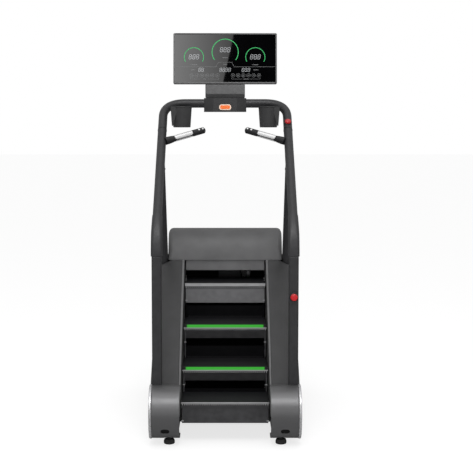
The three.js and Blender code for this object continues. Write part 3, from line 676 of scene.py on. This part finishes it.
def nosing(index, nose):
    """The front edge of a tread: a dark face, a thin bright line, and a comb of knuckles."""
    face = facing(nose + Vector((0, -0.0002, 0)), -Y_AXIS)
    if index == 1:
        comb_top = -0.0175
        strip(f"nosing_band_{index}", face, NOSING_HALF, comb_top, -0.0005, NOSING)
    elif index == 4:
        comb_top = -0.0065
        strip(f"nosing_line_{index}", face, NOSING_HALF, comb_top, -0.0003, NOSING)
        strip(f"nosing_apron_{index}", face, NOSING_HALF, -0.0275, -0.0185, SKIRT)
    else:
        comb_top = -0.0225
        strip(f"nosing_line_{index}", face, NOSING_HALF, comb_top, -0.0165, NOSING)
        strip(f"nosing_face_{index}", face, NOSING_HALF, -0.0160, -0.0010, DARK)
        strip(f"step_light_{index}", face @ Matrix.Translation((0, 0, 0.0006)), 0.213,
              -0.0165, -0.0005, GREEN_LIGHT)
    # A near-black strip behind the comb: painted shade between the knuckles.
    strip(f"comb_back_{index}", face, NOSING_HALF, comb_top - 0.0120, comb_top, PAINTED_SHADE_BLACK)
    bm = bmesh.new()
    knuckles(bm, STEP_HALF, nose + Vector((0, -0.0030, comb_top - 0.0095)),
             (0.0052, 0.009, 0.0070), 0.0118)
    soften(bm, 0.001, 1)
    piece(f"nosing_comb_{index}", bm, NOSING, FLIGHT, "step")


def strip(name, face, half, bottom, top, material):
    """A thin bar with soft edges along the nosing's face."""
    middle = face @ Matrix.Translation((0, (bottom + top) / 2, 0))
    plate(name, rounded_box(half, (top - bottom) / 2, 0.0012, 3), middle, 0.0012, 0.0004,
          material, 1, body=FLIGHT, slot="step")


def skirt_clip(name, sign, y, z):
    """The small bright clip at the lower corner of a skirt."""
    x0, x1 = sorted((sign * (STEP_HALF - 0.009), sign * (STEP_HALF + 0.003)))
    block(name, (x0, y - 0.0010, z - 0.0025), (x1, y + 0.008, z + 0.0025), 0.0008, NOSING, 1,
          body=FLIGHT, slot="step")


def paint_shade_below(obj, height, material):
    """Gives the faces under a height another material: painted shade on the lower part."""
    obj.data.materials.append(material)
    for face in obj.data.polygons:
        if face.center.z < height:
            face.material_index = 1


# --- casings

def casings():
    for sign, side in SIDES:
        refined(f"side_casing_{side}", CASING, 0.006, 4, 25)
        round_end(sign, side)
        casing_screws(sign, side)
        casing_trim(sign, side)
    cowl()
    refined("cowl_lip", CASING_LIGHT, 0.003, 3)
    refined("front_cover", CASING, 0.002)


def round_end(sign, side):
    """The round shell at the rear of a casing, with its bright disc and its dark recess."""
    node = f"round_end_{side}"
    middle = centre(node)
    radius = (high(node).z - low(node).z) / 2 - 0.003
    inside = radius - 0.004
    hub = Vector((0, middle.y, middle.z))
    profile = [(0, DISC_INNER - 0.006), (inside, DISC_INNER - 0.006), (inside, TRIM_INNER)]
    profile += rounded([(inside, TRIM_INNER), (radius, TRIM_INNER), (radius, DISC_INNER),
                        (0, DISC_INNER)], 0.004, 4)[1:]
    shell = lathe(node, profile, hub, X_AXIS * sign, SATIN, 160)
    make_room(shell, sign, side, middle)
    disc = rounded([(0, DISC_INNER + 0.0003), (radius + 0.003, DISC_INNER + 0.0003),
                    (radius + 0.003, DISC_OUTER - 0.001), (radius - 0.010, DISC_OUTER - 0.001),
                    (radius - 0.014, DISC_OUTER - 0.004), (0.03, DISC_OUTER - 0.004)], 0.0035, 4)
    disc += [(0.028, DISC_OUTER - 0.0015), (0, DISC_OUTER - 0.0015)]
    lathe(f"end_disc_{side}", disc, hub, X_AXIS * sign, SILVER, 160, slot="satin_end")
    end_recess(shell, sign, side, hub, radius)


def make_room(shell, sign, side, middle):
    """Opens the shell towards the casing, and for the chain, the post and the foot."""
    gap = Vector((0.0008, 0.0008, 0))
    post_low = low("post_right") - gap
    post_high = high("post_right") + gap
    carve_box(shell, sign, (TRIM_INNER - 0.01, middle.y + 0.080, 0),
              (DISC_INNER + 0.002, middle.y + 0.3, 0.4))
    carve_box(shell, sign, (TRIM_INNER - 0.01, middle.y + 0.045, 0),
              (CASING_INNER + 0.0005, middle.y + 0.3, 0.4))
    carve_box(shell, sign, (post_low.x, post_low.y, 0.05), (post_high.x, post_high.y, 0.5))
    foot = centre(f"foot_rear_{side}")
    well = bmesh.new()
    lathe_into(well, [(0, 0), (0.031, 0), (0.031, 0.06), (0, 0.06)],
               Matrix.Translation((foot.x, foot.y, 0.0)), 48)
    carve(shell, well)


def end_recess(shell, sign, side, hub, radius):
    """The oval recess low on the back of the shell, with a near-black plug at its bottom as
    painted shade.
    """
    outline = rounded_box(0.0235, 0.0170, 0.016)
    place = Vector((sign * 0.311, hub.y, 0.084))
    place.y -= math.sqrt(radius ** 2 - (hub.z - place.z) ** 2) - 0.0005
    normal = Vector((0, place.y - hub.y, place.z - hub.z)).normalized()
    matrix = facing(place + normal * -0.006, normal)
    recess = bmesh.new()
    prism_into(recess, outline, matrix, 0.03)
    carve(shell, recess)
    # The plug is painted shade in the recess.
    plug = bmesh.new()
    prism_into(plug, outline, matrix, 0.0015)
    piece(f"end_recess_{side}", plug, PAINTED_SHADE_BLACK, slot="black_plastic")


def casing_trim(sign, side):
    """The rounded edge that reaches in over the chain, from the round end up to the cowl. Its
    light grey is a painted highlight along the edge.
    """
    nose = Vector((0, low("tread_2").y, high("tread_2").z))
    slope = Vector((0, low("tread_2").y - low("tread_3").y, STEP_RISE)).normalized()
    outward = Vector((0, -slope.z, slope.y))
    ends = []
    for y in (low("round_end_right").y + 0.10, low("cowl_lip").y - 0.004):
        point = nose + slope * ((y - nose.y) / slope.y) + outward * 0.031
        ends.append(Vector((sign * TRIM_MIDDLE, point.y, point.z)))
    swept(f"casing_trim_{side}", straight(*ends, 12),
          lambda t: superellipse(0.0070, 0.0065, 4, 24), CASING_EDGE_PAINTED_HIGHLIGHT, slot="casing")


def casing_screws(sign, side):
    """Two rows of screws on the casing's outer side."""
    first_y = low("cowl").y - 0.05
    upper_z = high("side_casing_right").z - 0.13
    places = [(first_y + k * 0.17, upper_z) for k in range(4)]
    places += [(-0.38 + k * 0.33, 0.085) for k in range(4)]
    for k, (y, z) in enumerate(places):
        screw(f"casing_screw_{side}_{k}", Vector((sign * CASING_OUTER, y, z)), X_AXIS * sign)


def screw(name, place, direction):
    """A button-head screw with a socket."""
    radius = 0.0055
    head = [(0, -0.001), (radius, -0.001), (radius, 0.0006), (radius * 0.75, 0.0022),
            (radius * 0.45, 0.0026), (radius * 0.42, 0.0012), (0, 0.0012)]
    lathe(name, head, place, direction, STEEL, 24, slot="steel")


def cowl_outline(inset, bottom, rear, front):
    """The cowl in the side view: a steep rear face, a crown, a long slope and a front face."""
    top = COWL_TOP - inset
    crown = Vector((rear + 0.117, top))
    points = bezier(Vector((rear + inset, bottom)), Vector((rear + 0.030 + inset, top - 0.023)),
                    crown, 18)
    points += bezier(crown, Vector((rear + 0.312, top + 0.014)),
                     Vector((front - 0.041 - inset, top - 0.086)), 18)[1:]
    return points + [Vector((front - inset, top - 0.126)), Vector((front - inset, bottom))]


def cowl():
    """A shell made of side-view outlines that shrink towards its two round side edges."""
    lowest, highest = low("cowl"), high("cowl")
    half = highest.x + 0.0055
    round_edge = 0.026
    stations = []
    for k in range(9):
        angle = math.radians(90 * k / 8)
        stations.append((-half + round_edge * (1 - math.cos(angle)),
                         round_edge * (1 - math.sin(angle))))
    stations += [(-x, inset) for x, inset in reversed(stations)]
    bm = bmesh.new()
    rings = []
    for x, inset in stations:
        outline = cowl_outline(inset, lowest.z, lowest.y, highest.y)
        rings.append([bm.verts.new((x, y, z)) for y, z in outline])
    for first, second in zip(rings, rings[1:]):
        for k in range(len(first) - 1):
            bm.faces.new((first[k], first[k + 1], second[k + 1], second[k]))
    for ring in (rings[0], rings[-1]):
        bm.faces.new(ring)
    bmesh.ops.recalc_face_normals(bm, faces=bm.faces)
    bmesh.ops.solidify(bm, geom=list(bm.faces), thickness=0.0035)
    piece("cowl", bm, COWL, sharp_degrees=40)


# --- posts, rails, struts

def round_tube(radius):
    return lambda t: superellipse(radius, radius, 2.0, 56)


def post_bend(angle):
    """The right post's middle line above the post, where it has bent forward by that angle."""
    return Vector((SIDE_X, centre("post_right").y + POST_BEND * (1 - math.cos(angle)),
                   POST_TOP + POST_BEND * math.sin(angle)))


def rail_path():
    """Up the slope from the post's bend, and round the corner into the crossbar."""
    bend = RAIL_CORNER + RAIL_BACK * CORNER_LENGTH
    end = Vector((high("crossbar").x + 0.0003, RAIL_CORNER.y, RAIL_CORNER.z))
    return straight(post_bend(POST_TURN), bend, 6)[:-1] + bezier(bend, RAIL_CORNER, end, 28)


def cap_section(t):
    """The cap starts as the post's rounded box and ends as a sleeve round the tube."""
    ease = t * t * (3 - 2 * t)
    half_width = 0.0295 - 0.0025 * max(0.0, 2 * t - 1)
    half_depth = 0.0330 - 0.0058 * ease
    return superellipse(half_width, half_depth, 5.5 - 3.3 * ease, 64)


def posts_and_rails():
    cap_path = [post_bend(POST_TURN * k / 24) + Z_AXIS * 0.0006 for k in range(25)]
    for sign, side in SIDES:
        refined(f"post_{side}", FRAME_PAINT, 0.0035, 3)
        swept(f"post_cap_{side}", mirrored(cap_path, sign), cap_section, FRAME_PAINT)
        swept(f"handrail_{side}", mirrored(rail_path(), sign), round_tube(TUBE), FRAME_PAINT)
        front_strut(sign, side)
        ring = [(TUBE - 0.001, -0.004), (TUBE + 0.0012, -0.003), (TUBE + 0.0012, 0.003),
                (TUBE - 0.001, 0.004)]
        lathe(f"rail_ring_{side}", ring, mirror_x(rail_point(RAIL_CORNER.y - 0.20), sign),
              -RAIL_BACK, DARK, slot="black_plastic")
    ends = [Vector((x, CROSSBAR.y, CROSSBAR.z)) for x in (low("crossbar").x, high("crossbar").x)]
    swept("crossbar", straight(*ends, 3), round_tube(TUBE), FRAME_PAINT)


def front_strut(sign, side):
    """A tube that rises from the cowl's side and leans forward to the rail, with its collar."""
    node = f"front_strut_{side}"
    radius = (high(node).x - low(node).x) / 2
    foot = Vector((SIDE_X, high(node).y - radius, low(node).z))
    bend = Vector((SIDE_X, foot.y, STRUT_BEND_Z))
    top = rail_point(post_bend(POST_TURN).y + 0.355)
    lean = (top - bend).normalized()
    below = bend - Z_AXIS * 0.09
    above = bend + lean * 0.09
    end = top - lean * (TUBE - 0.004)
    path = straight(foot, below, 4)[:-1] + bezier(below, bend, above, 16)
    path += straight(above, end, 5)[1:]
    swept(node, mirrored(path, sign), round_tube(radius), FRAME_PAINT)
    collar = bend + lean * 0.012
    profile = [(radius - 0.001, -0.030)] + rounded(
        [(radius + 0.0075, -0.030), (radius + 0.0065, 0.010), (radius + 0.0005, 0.016)], 0.004, 4)
    lathe(f"strut_collar_{side}", profile + [(radius - 0.001, 0.016)], mirror_x(collar, sign),
          mirror_x(lean, sign), DARK, slot="black_plastic")
    weld = [(radius - 0.001, -0.034), (radius + 0.0025, -0.026), (radius - 0.001, -0.018)]
    lathe(f"strut_weld_{side}", weld, mirror_x(end, sign), mirror_x(lean, sign), FRAME_PAINT,
          slot="frame_paint")


# --- pod, cups and grips

def control_pod():
    refined("control_pod", CASING, 0.011, 5)
    rear, top = low("control_pod").y, high("control_pod").z
    outline = [(-0.066, -0.0004), (0.066, -0.0004), (0.112, 0.027), (0.112, 0.095),
               (-0.112, 0.095), (-0.112, 0.027)]
    plate("pod_top_band", outline, Matrix.Translation((0, rear + 0.001, top - 0.0002)), 0.0012,
          0.0005, GLASS, 1, slot="black_plastic")
    place = Vector((0, low("pod_button").y + 0.0065, centre("pod_button").z))
    border = facing(place, -Y_AXIS)
    plate("pod_button", rounded_box(0.0348, 0.0158, 0.0130), border, 0.0060, 0.001, PALE)
    plate("pod_button_face", rounded_box(0.0285, 0.0105, 0.0085),
          border @ Matrix.Translation((0, 0, 0.0055)), 0.0014, 0.0005, ORANGE,
          body="pod_button_body", slot="orange")


def cups():
    for sign, side in SIDES:
        node = f"cup_holder_{side}"
        rim, base = high(node).z, low(node).z
        axis = Vector((centre(node).x, low(node).y + 0.062, 0))
        wall = [(0.040, base), (0.0498, base), (0.0575, rim - 0.006), (0.0618, rim - 0.005),
                (0.0618, rim - 0.0002), (0.0555, rim - 0.0002), (0.0470, base + 0.004),
                (0.020, base + 0.004)]
        profile = [(0, base), (0.040, base)] + rounded(wall, 0.003, 4)[1:] + [(0, base + 0.004)]
        lathe(node, profile, axis, Z_AXIS, CASING, 96)
        cup_supports(sign, side, axis, rim)


def cup_supports(sign, side, axis, rim):
    """The bracket between a cup and the crossbar, and the fin down the cup's outer side."""
    block(f"cup_bracket_{side}", (axis.x - 0.024, axis.y + 0.054, rim - 0.020),
          (axis.x + 0.024, CROSSBAR.y - 0.012, rim - 0.002), 0.002, DARK, slot="black_plastic")
    outline = [(0.020, -0.004), (0.064, -0.004), (0.056, -0.112), (0.050, -0.112)]
    upright = Matrix(((sign, 0, 0, axis.x), (0, 0, 1, axis.y - 0.047), (0, 1, 0, rim),
                      (0, 0, 0, 1)))
    plate(f"cup_fin_{side}", outline, upright, 0.006, 0.0012, CASING, slot="black_plastic")


def grip_frame(sign):
    """Origin at the grip's root, Z along the grip, Y towards the user's thumb."""
    along = (GRIP_TIP - GRIP_ROOT).normalized()
    face = Vector((0, -0.8, 0.6))
    face = (face - along * face.dot(along)).normalized()
    root, along, face = mirrored((GRIP_ROOT, along, face), sign)
    turn = Matrix((face.cross(along), face, along)).transposed().to_4x4()
    return Matrix.Translation(root) @ turn


def curved_plate(bm, matrix, start, end, half_angle, turn):
    """A thin plate bent round the grip, with softly rounded ends; angles in degrees."""
    steps = 18
    rows = 14
    inner = GRIP_RADIUS - 0.0004
    grid = {}
    for layer, reach in enumerate((inner, inner + 0.0012)):
        for i in range(rows + 1):
            z = start + (end - start) * i / rows
            edge = min(z - start, end - z)
            narrow = 1 - 0.35 * max(0.0, 1 - edge / 0.010) ** 2
            for j in range(steps + 1):
                angle = math.radians(turn + half_angle * narrow * (2 * j / steps - 1))
                place = Vector((reach * math.sin(angle), reach * math.cos(angle), z))
                grid[layer, i, j] = bm.verts.new(matrix @ place)

    def face(*corners):
        bm.faces.new([grid[corner] for corner in corners])

    for i in range(rows):
        for j in range(steps):
            face((1, i, j), (1, i, j + 1), (1, i + 1, j + 1), (1, i + 1, j))
            face((0, i, j), (0, i + 1, j), (0, i + 1, j + 1), (0, i, j + 1))
    for i in range(rows):
        for j in (0, steps):
            face((0, i, j), (1, i, j), (1, i + 1, j), (0, i + 1, j))
    for j in range(steps):
        for i in (0, rows):
            face((0, i, j), (0, i, j + 1), (1, i, j + 1), (1, i, j))


def grips():
    length = (GRIP_TIP - GRIP_ROOT).length
    handle = [(0.0215, -0.008), (0.0215, 0.012), (0.0188, 0.040), (GRIP_RADIUS, 0.046),
              (GRIP_RADIUS, 0.171), (GRIP_RADIUS - 0.002, 0.1715),
              (GRIP_RADIUS - 0.002, 0.1735), (GRIP_RADIUS + 0.001, 0.174),
              (GRIP_RADIUS + 0.001, length - 0.006), (GRIP_RADIUS - 0.006, length)]
    profile = [(0, -0.008)] + rounded(handle, 0.002, 3) + [(0, length)]
    for sign, side in SIDES:
        matrix = grip_frame(sign)
        bm = bmesh.new()
        lathe_into(bm, profile, matrix, 64)
        piece(f"hand_grip_{side}", bm, DARK)
        plates = bmesh.new()
        curved_plate(plates, matrix, 0.050, 0.166, 60, 0)
        for turn in (102, -102):
            curved_plate(plates, matrix, 0.052, 0.164, 22, turn)
        piece(f"sensor_plates_{side}", plates, SENSOR, slot="steel", sharp_degrees=50)
        grip_button(f"grip_button_inner_{side}", matrix, length - 0.042)
        grip_button(f"grip_button_tip_{side}", matrix, length - 0.017)


def grip_button(node, matrix, place):
    """A round button with a white face, standing on the end pod of the grip."""
    spot = matrix @ Vector((0, 0.0135, place))
    out = (matrix.to_3x3() @ Y_AXIS).normalized()
    edge = [(0.0079, 0), (0.0079, 0.0058), (0.0060, 0.0066), (0.0057, 0.0060)]
    ring = [(0, 0), (0.0079, 0)] + rounded(edge, 0.001, 3)[1:] + [(0, 0.0060)]
    face = [(0, 0.0058), (0.0054, 0.0058), (0.0050, 0.0066), (0, 0.0068)]
    lathe(node, ring, spot, out, RIM, 40)
    lathe(node + "_face", face, spot, out, WHITE_DOT, 32, body=BODY_OF[node], slot="rim")


# --- stops

def mushroom(radius, stem, rise):
    """The profile of a round-topped push head on its stem."""
    dome = []
    for k in range(9):
        angle = math.radians(90 * k / 8)
        dome.append((radius * 0.96 * math.cos(angle), rise - 0.006 + 0.006 * math.sin(angle)))
    return [(0, -0.003), (0.0083, -0.003), (0.0083, stem), (radius - 0.002, stem),
            (radius, stem + 0.002), (radius, rise - 0.008)] + dome


def stops():
    """The red stop on the right post, and the red button on top of the right handrail."""
    knob = centre("stop_knob")
    place = Vector((knob.x, POST_REAR, knob.z))
    rise = POST_REAR - low("stop_knob").y
    lathe("stop_knob", mushroom(0.0188, 0.016, rise), place, -Y_AXIS, RED)
    collar = rounded([(0.0095, 0), (0.0240, 0), (0.0240, 0.005), (0.0205, 0.0095),
                      (0.0095, 0.0095)], 0.002, 4) + [(0.0095, 0)]
    lathe("stop_collar", collar, place - Y_AXIS * 0.0003, -Y_AXIS, DARK, slot="black_plastic")
    spot = rail_point(RAIL_BUTTON_Y) + RAIL_UP * TUBE
    lathe("rail_button", mushroom(0.0178, 0.003, 0.0180), spot, RAIL_UP, RED)
    collar = [(0.0095, -0.006), (0.0195, -0.006), (0.0195, 0.0004), (0.0175, 0.0014),
              (0.0095, 0.0014), (0.0095, -0.006)]
    lathe("rail_button_collar", collar, spot, RAIL_UP, DARK, slot="black_plastic")


# --- display

DISPLAY_TILT = math.radians(-8)


def display_matrix():
    """Local X to the right, Y up the screen, Z out of the glass."""
    middle = centre("console_shell")
    turn = Matrix.Rotation(DISPLAY_TILT, 4, "X") @ Matrix.Rotation(math.pi / 2, 4, "X")
    return Matrix.Translation(middle) @ turn @ Matrix.Translation((0, 0, 0.0192))


class Marks:
    """Flat marks on one surface, gathered in one mesh."""

    def __init__(self, matrix):
        self.bm = bmesh.new()
        self.matrix = matrix

    def patch(self, corners, rise=0.0004):
        prism_into(self.bm, corners, self.matrix, rise)

    def stroke(self, points, width, rise=0.0004):
        """A line of one width through points."""
        for first, second in zip(points, points[1:]):
            a, b = Vector(first), Vector(second)
            run = (b - a).normalized()
            across = Vector((-run.y, run.x)) * width / 2
            a, b = a - run * width * 0.3, b + run * width * 0.3
            self.patch([a - across, b - across, b + across, a + across], rise)

    def arc(self, middle, radius, width, start, end, count=64):
        """A smooth curved band; angles in degrees."""
        def at(reach, k):
            angle = math.radians(start + (end - start) * k / count)
            return (middle[0] + reach * math.cos(angle), middle[1] + reach * math.sin(angle))

        inner, outer = radius - width / 2, radius + width / 2
        for k in range(count):
            self.patch([at(inner, k), at(outer, k), at(outer, k + 1), at(inner, k + 1)])

    def digit(self, corner, height):
        """A seven-segment eight, leaning a little."""
        width = height * 0.52
        thick = height * 0.062
        gap = thick * 1.1

        def at(x, y):
            return (corner[0] + x + y * 0.14, corner[1] + y)

        for y in (0, height / 2, height):
            self.stroke([at(gap, y), at(width - gap, y)], thick)
        for x in (0, width):
            for y in (0, height / 2):
                self.stroke([at(x, y + gap), at(x, y + height / 2 - gap)], thick)

    def number(self, middle, count, height):
        pitch = height * 0.82
        left = middle[0] - pitch * count / 2 + height * 0.08
        for k in range(count):
            self.digit((left + k * pitch, middle[1] - height / 2), height)

    def label(self, middle, width):
        """A row of short dashes in place of a printed word."""
        count = max(3, int(width / 0.006))
        pitch = width / count
        for k in range(count):
            x = middle[0] - width / 2 + (k + 0.5) * pitch
            self.stroke([(x - pitch * 0.28, middle[1]), (x + pitch * 0.28, middle[1])], 0.0030)

    def icon(self, middle, kind):
        """A round button mark with a plain bar pattern inside."""
        self.arc(middle, 0.0108, 0.0011, 0, 360, 32)
        for k in range(-1, 2):
            size = 0.003 + 0.0012 * ((kind + k) % 3)
            x = middle[0] + k * 0.0042
            self.stroke([(x, middle[1] - size), (x, middle[1] + size)], 0.0014)


def display():
    refined("console_shell", RIM, 0.003, 3)
    refined("console_glass", GLASS, 0.0008, 2)
    refined("console_neck", NECK, 0.003, 3)
    matrix = display_matrix()
    bezel(matrix)
    neck_clamp()
    display_graphics(matrix)
    display_back(matrix)


def display_graphics(matrix):
    """Green arcs, white numbers and grey marks on the glass."""
    green = Marks(matrix)
    green.arc((-0.182, 0.006), 0.0560, 0.0036, -28, 208)
    green.arc((0.0, 0.036), 0.0765, 0.0042, -36, 216)
    green.arc((0.176, 0.006), 0.0560, 0.0036, -28, 208)
    piece("display_arcs", green.bm, GREEN_MARK, slot="glass")

    white = Marks(matrix)
    for x, y in ((-0.182, 0.008), (0.0, 0.050), (0.176, 0.008)):
        white.number((x, y), 3, 0.026)
    for x, count in ((-0.140, 2), (0.0, 4), (0.121, 3)):
        white.number((x, -0.068), count, 0.021)
    piece("display_numbers", white.bm, WHITE_MARK, slot="glass")

    grey = Marks(matrix)
    for x, y, width in ((-0.182, -0.038, 0.040), (0.0, 0.003, 0.030), (0.0, -0.036, 0.020),
                        (0.176, -0.038, 0.034), (-0.186, -0.068, 0.026), (0.178, -0.068, 0.030),
                        (-0.120, -0.122, 0.018), (0.121, -0.122, 0.030)):
        grey.label((x, y), width)
    grey.stroke([(-0.292, -0.050), (-0.052, -0.050), (-0.040, -0.024), (0.040, -0.024),
                 (0.052, -0.050), (0.292, -0.050)], 0.0012)
    for x in (-0.120, 0.121):
        for k in range(6):
            grey.icon((x + (k - 2.5) * 0.0300, -0.1005), k)
        for sign in (-1, 1):
            bracket = [(x + sign * 0.020, -0.122), (x + sign * 0.083, -0.122),
                       (x + sign * 0.083, -0.114)]
            grey.stroke(bracket, 0.0010)
    piece("display_marks", grey.bm, GREY_MARK, slot="glass")


def bezel(matrix):
    """The grey frame round the glass."""
    outer = rounded_box(0.3015, 0.1470, 0.012)
    inner = rounded_box(0.2945, 0.1400, 0.006)
    rim = Marks(matrix)
    for k in range(len(outer)):
        j = (k + 1) % len(outer)
        rim.patch([outer[k], outer[j], inner[j], inner[k]], 0.0009)
    bmesh.ops.remove_doubles(rim.bm, verts=rim.bm.verts, dist=1e-6)
    piece("display_bezel", rim.bm, RIM, slot="rim")


def neck_clamp():
    """The dark hinge block where the neck meets the pod."""
    foot = low("console_neck")
    block("neck_clamp", (foot.x + 0.004, foot.y - 0.006, foot.z - 0.001),
          (-foot.x - 0.004, foot.y + 0.002, foot.z + 0.022), 0.002, CASING,
          slot="black_plastic")


def display_back(glass):
    """A shallow cover with vents on the back of the display; the vents are near-black strokes,
    painted shade in the slots.
    """
    back = glass @ Matrix.Translation((0, 0, -0.0384)) @ Matrix.Rotation(math.pi, 4, "X")
    plate("display_back_cover", rounded_box(0.20, 0.10, 0.015), back, 0.004, 0.0015, DARK,
          slot="black_plastic")
    vents = Marks(back @ Matrix.Translation((0, 0, 0.0035)))
    for row in range(6):
        y = -0.030 - row * 0.009
        vents.stroke([(-0.06, y), (0.06, y)], 0.003, 0.001)
    piece("display_vents", vents.bm, PAINTED_SHADE_BLACK, slot="black_plastic")


# --- studio

def studio():
    scene = bpy.context.scene
    scene.view_settings.view_transform = "Standard"
    scene.view_settings.look = "None"
    floor()
    backdrop()
    area_light("overhead", (0, -1.2, 5.4), (0, 0.0, 0.8), 3.6, 25)
    area_light("high_entry", (0, -4.6, 6.4), (0, -0.5, 0.4), 2.4, 105)
    low_entry = area_light("low_entry", (0, -9.0, 1.9), (0, 0, 0.9), 3.0, 275)
    low_entry.visible_glossy = False
    reflection_cards()


def staged(name, bm, material):
    """An object of the studio, which isn't part of the machine."""
    mesh = bpy.data.meshes.new(name)
    bm.to_mesh(mesh)
    bm.free()
    mesh.materials.append(material)
    obj = bpy.data.objects.new(name, mesh)
    bpy.context.scene.collection.objects.link(obj)
    return obj


def floor():
    """A pale sweep that glows a little, so that only a soft shadow shows on it."""
    pale = Paint("pale_floor", (0.36, 0.36, 0.36), 0.8)
    pale.vary_color(pale.noise(2.0), 0.006)
    pale.shade({"Emission Color": (1, 1, 1, 1), "Emission Strength": 0.74})
    bm = bmesh.new()
    bmesh.ops.create_grid(bm, x_segments=2, y_segments=2, size=40)
    staged("studio_floor", bm, pale.material).visible_glossy = False


def backdrop():
    """White behind the machine, and a room that is bright above and dark below around it."""
    world = bpy.data.worlds.new("soft_studio")
    bpy.context.scene.world = world
    world.use_nodes = True
    tree = world.node_tree
    direction = add_node(tree, "ShaderNodeTexCoord", {}).outputs["Generated"]
    axes = add_node(tree, "ShaderNodeSeparateXYZ", {0: direction})
    height = add_node(tree, "ShaderNodeMapRange", {"Value": axes.outputs["Z"], "From Min": -1})
    greys = ((0.38, [0.03] * 3), (1.0, [0.72] * 3), (0.55, [0.30] * 3))
    room = tree.nodes["Background"]
    set_inputs(tree, room, {"Color": add_ramp(tree, height.outputs["Result"], greys),
                            "Strength": 1.0})
    white = add_node(tree, "ShaderNodeBackground", {"Color": (1, 1, 1, 1), "Strength": 1.0})
    seen = add_node(tree, "ShaderNodeLightPath", {}).outputs["Is Camera Ray"]
    mix = add_node(tree, "ShaderNodeMixShader",
                   {"Fac": seen, 1: room.outputs["Background"], 2: white.outputs["Background"]})
    set_inputs(tree, tree.nodes["World Output"], {"Surface": mix.outputs["Shader"]})


def area_light(name, place, aim, size, power):
    light = bpy.data.lights.new(name, "AREA")
    light.energy = power
    light.size = size
    obj = bpy.data.objects.new(name, light)
    obj.location = place
    obj.rotation_euler = (Vector(place) - Vector(aim)).to_track_quat("Z", "Y").to_euler()
    bpy.context.scene.collection.objects.link(obj)
    return obj


def reflection_cards():
    """High behind the user: a softly fading panel and a black flag that the glass mirrors.

    Their shared edge slants, so the panel's reflection ends in a diagonal across the glass.
    """
    y = -6.6
    lit = [(-1.1, 3.6), (-0.11, 3.6), (0.18, 5.0), (-1.1, 5.0)]
    flag = [(-0.11, 3.6), (1.1, 3.6), (1.1, 5.0), (0.18, 5.0)]
    for name, outline, strength in (("lit_card", lit, 4.6), ("black_flag", flag, 0.0)):
        bm = bmesh.new()
        bm.faces.new([bm.verts.new((x, y, z)) for x, z in outline])
        card = staged(name, bm, card_material(name, strength))
        card.visible_camera = False
        card.visible_diffuse = False
        card.visible_shadow = False


def card_material(name, strength):
    """Bright at the far left and fading evenly to the right."""
    paint = Paint(name, (0.0, 0.0, 0.0), 1.0)
    axes = paint.add("ShaderNodeSeparateXYZ", {0: paint.place})
    fade = paint.add("ShaderNodeMapRange", {"Value": axes.outputs["X"], "From Min": -0.6,
                                            "From Max": 0.12, "To Min": 1.0, "To Max": 0.30})
    paint.shade({"Emission Color": fade.outputs["Result"], "Emission Strength": strength})
    return paint.material


def camera():
    data = bpy.data.cameras.new("camera")
    data.lens = 96.2
    data.sensor_width = 36
    data.shift_x = 0.024
    obj = bpy.data.objects.new("camera", data)
    obj.location = (0, -7.106, 1.752)
    obj.rotation_euler = (math.radians(90 - 5.85), 0, 0)
    bpy.context.scene.collection.objects.link(obj)
    bpy.context.scene.camera = obj


# --- making everything

camera()
studio()
base_and_drive()
feet_and_wheels()
for step_index in range(1, 5):
    step(step_index)
casings()
posts_and_rails()
control_pod()
cups()
grips()
stops()
display()
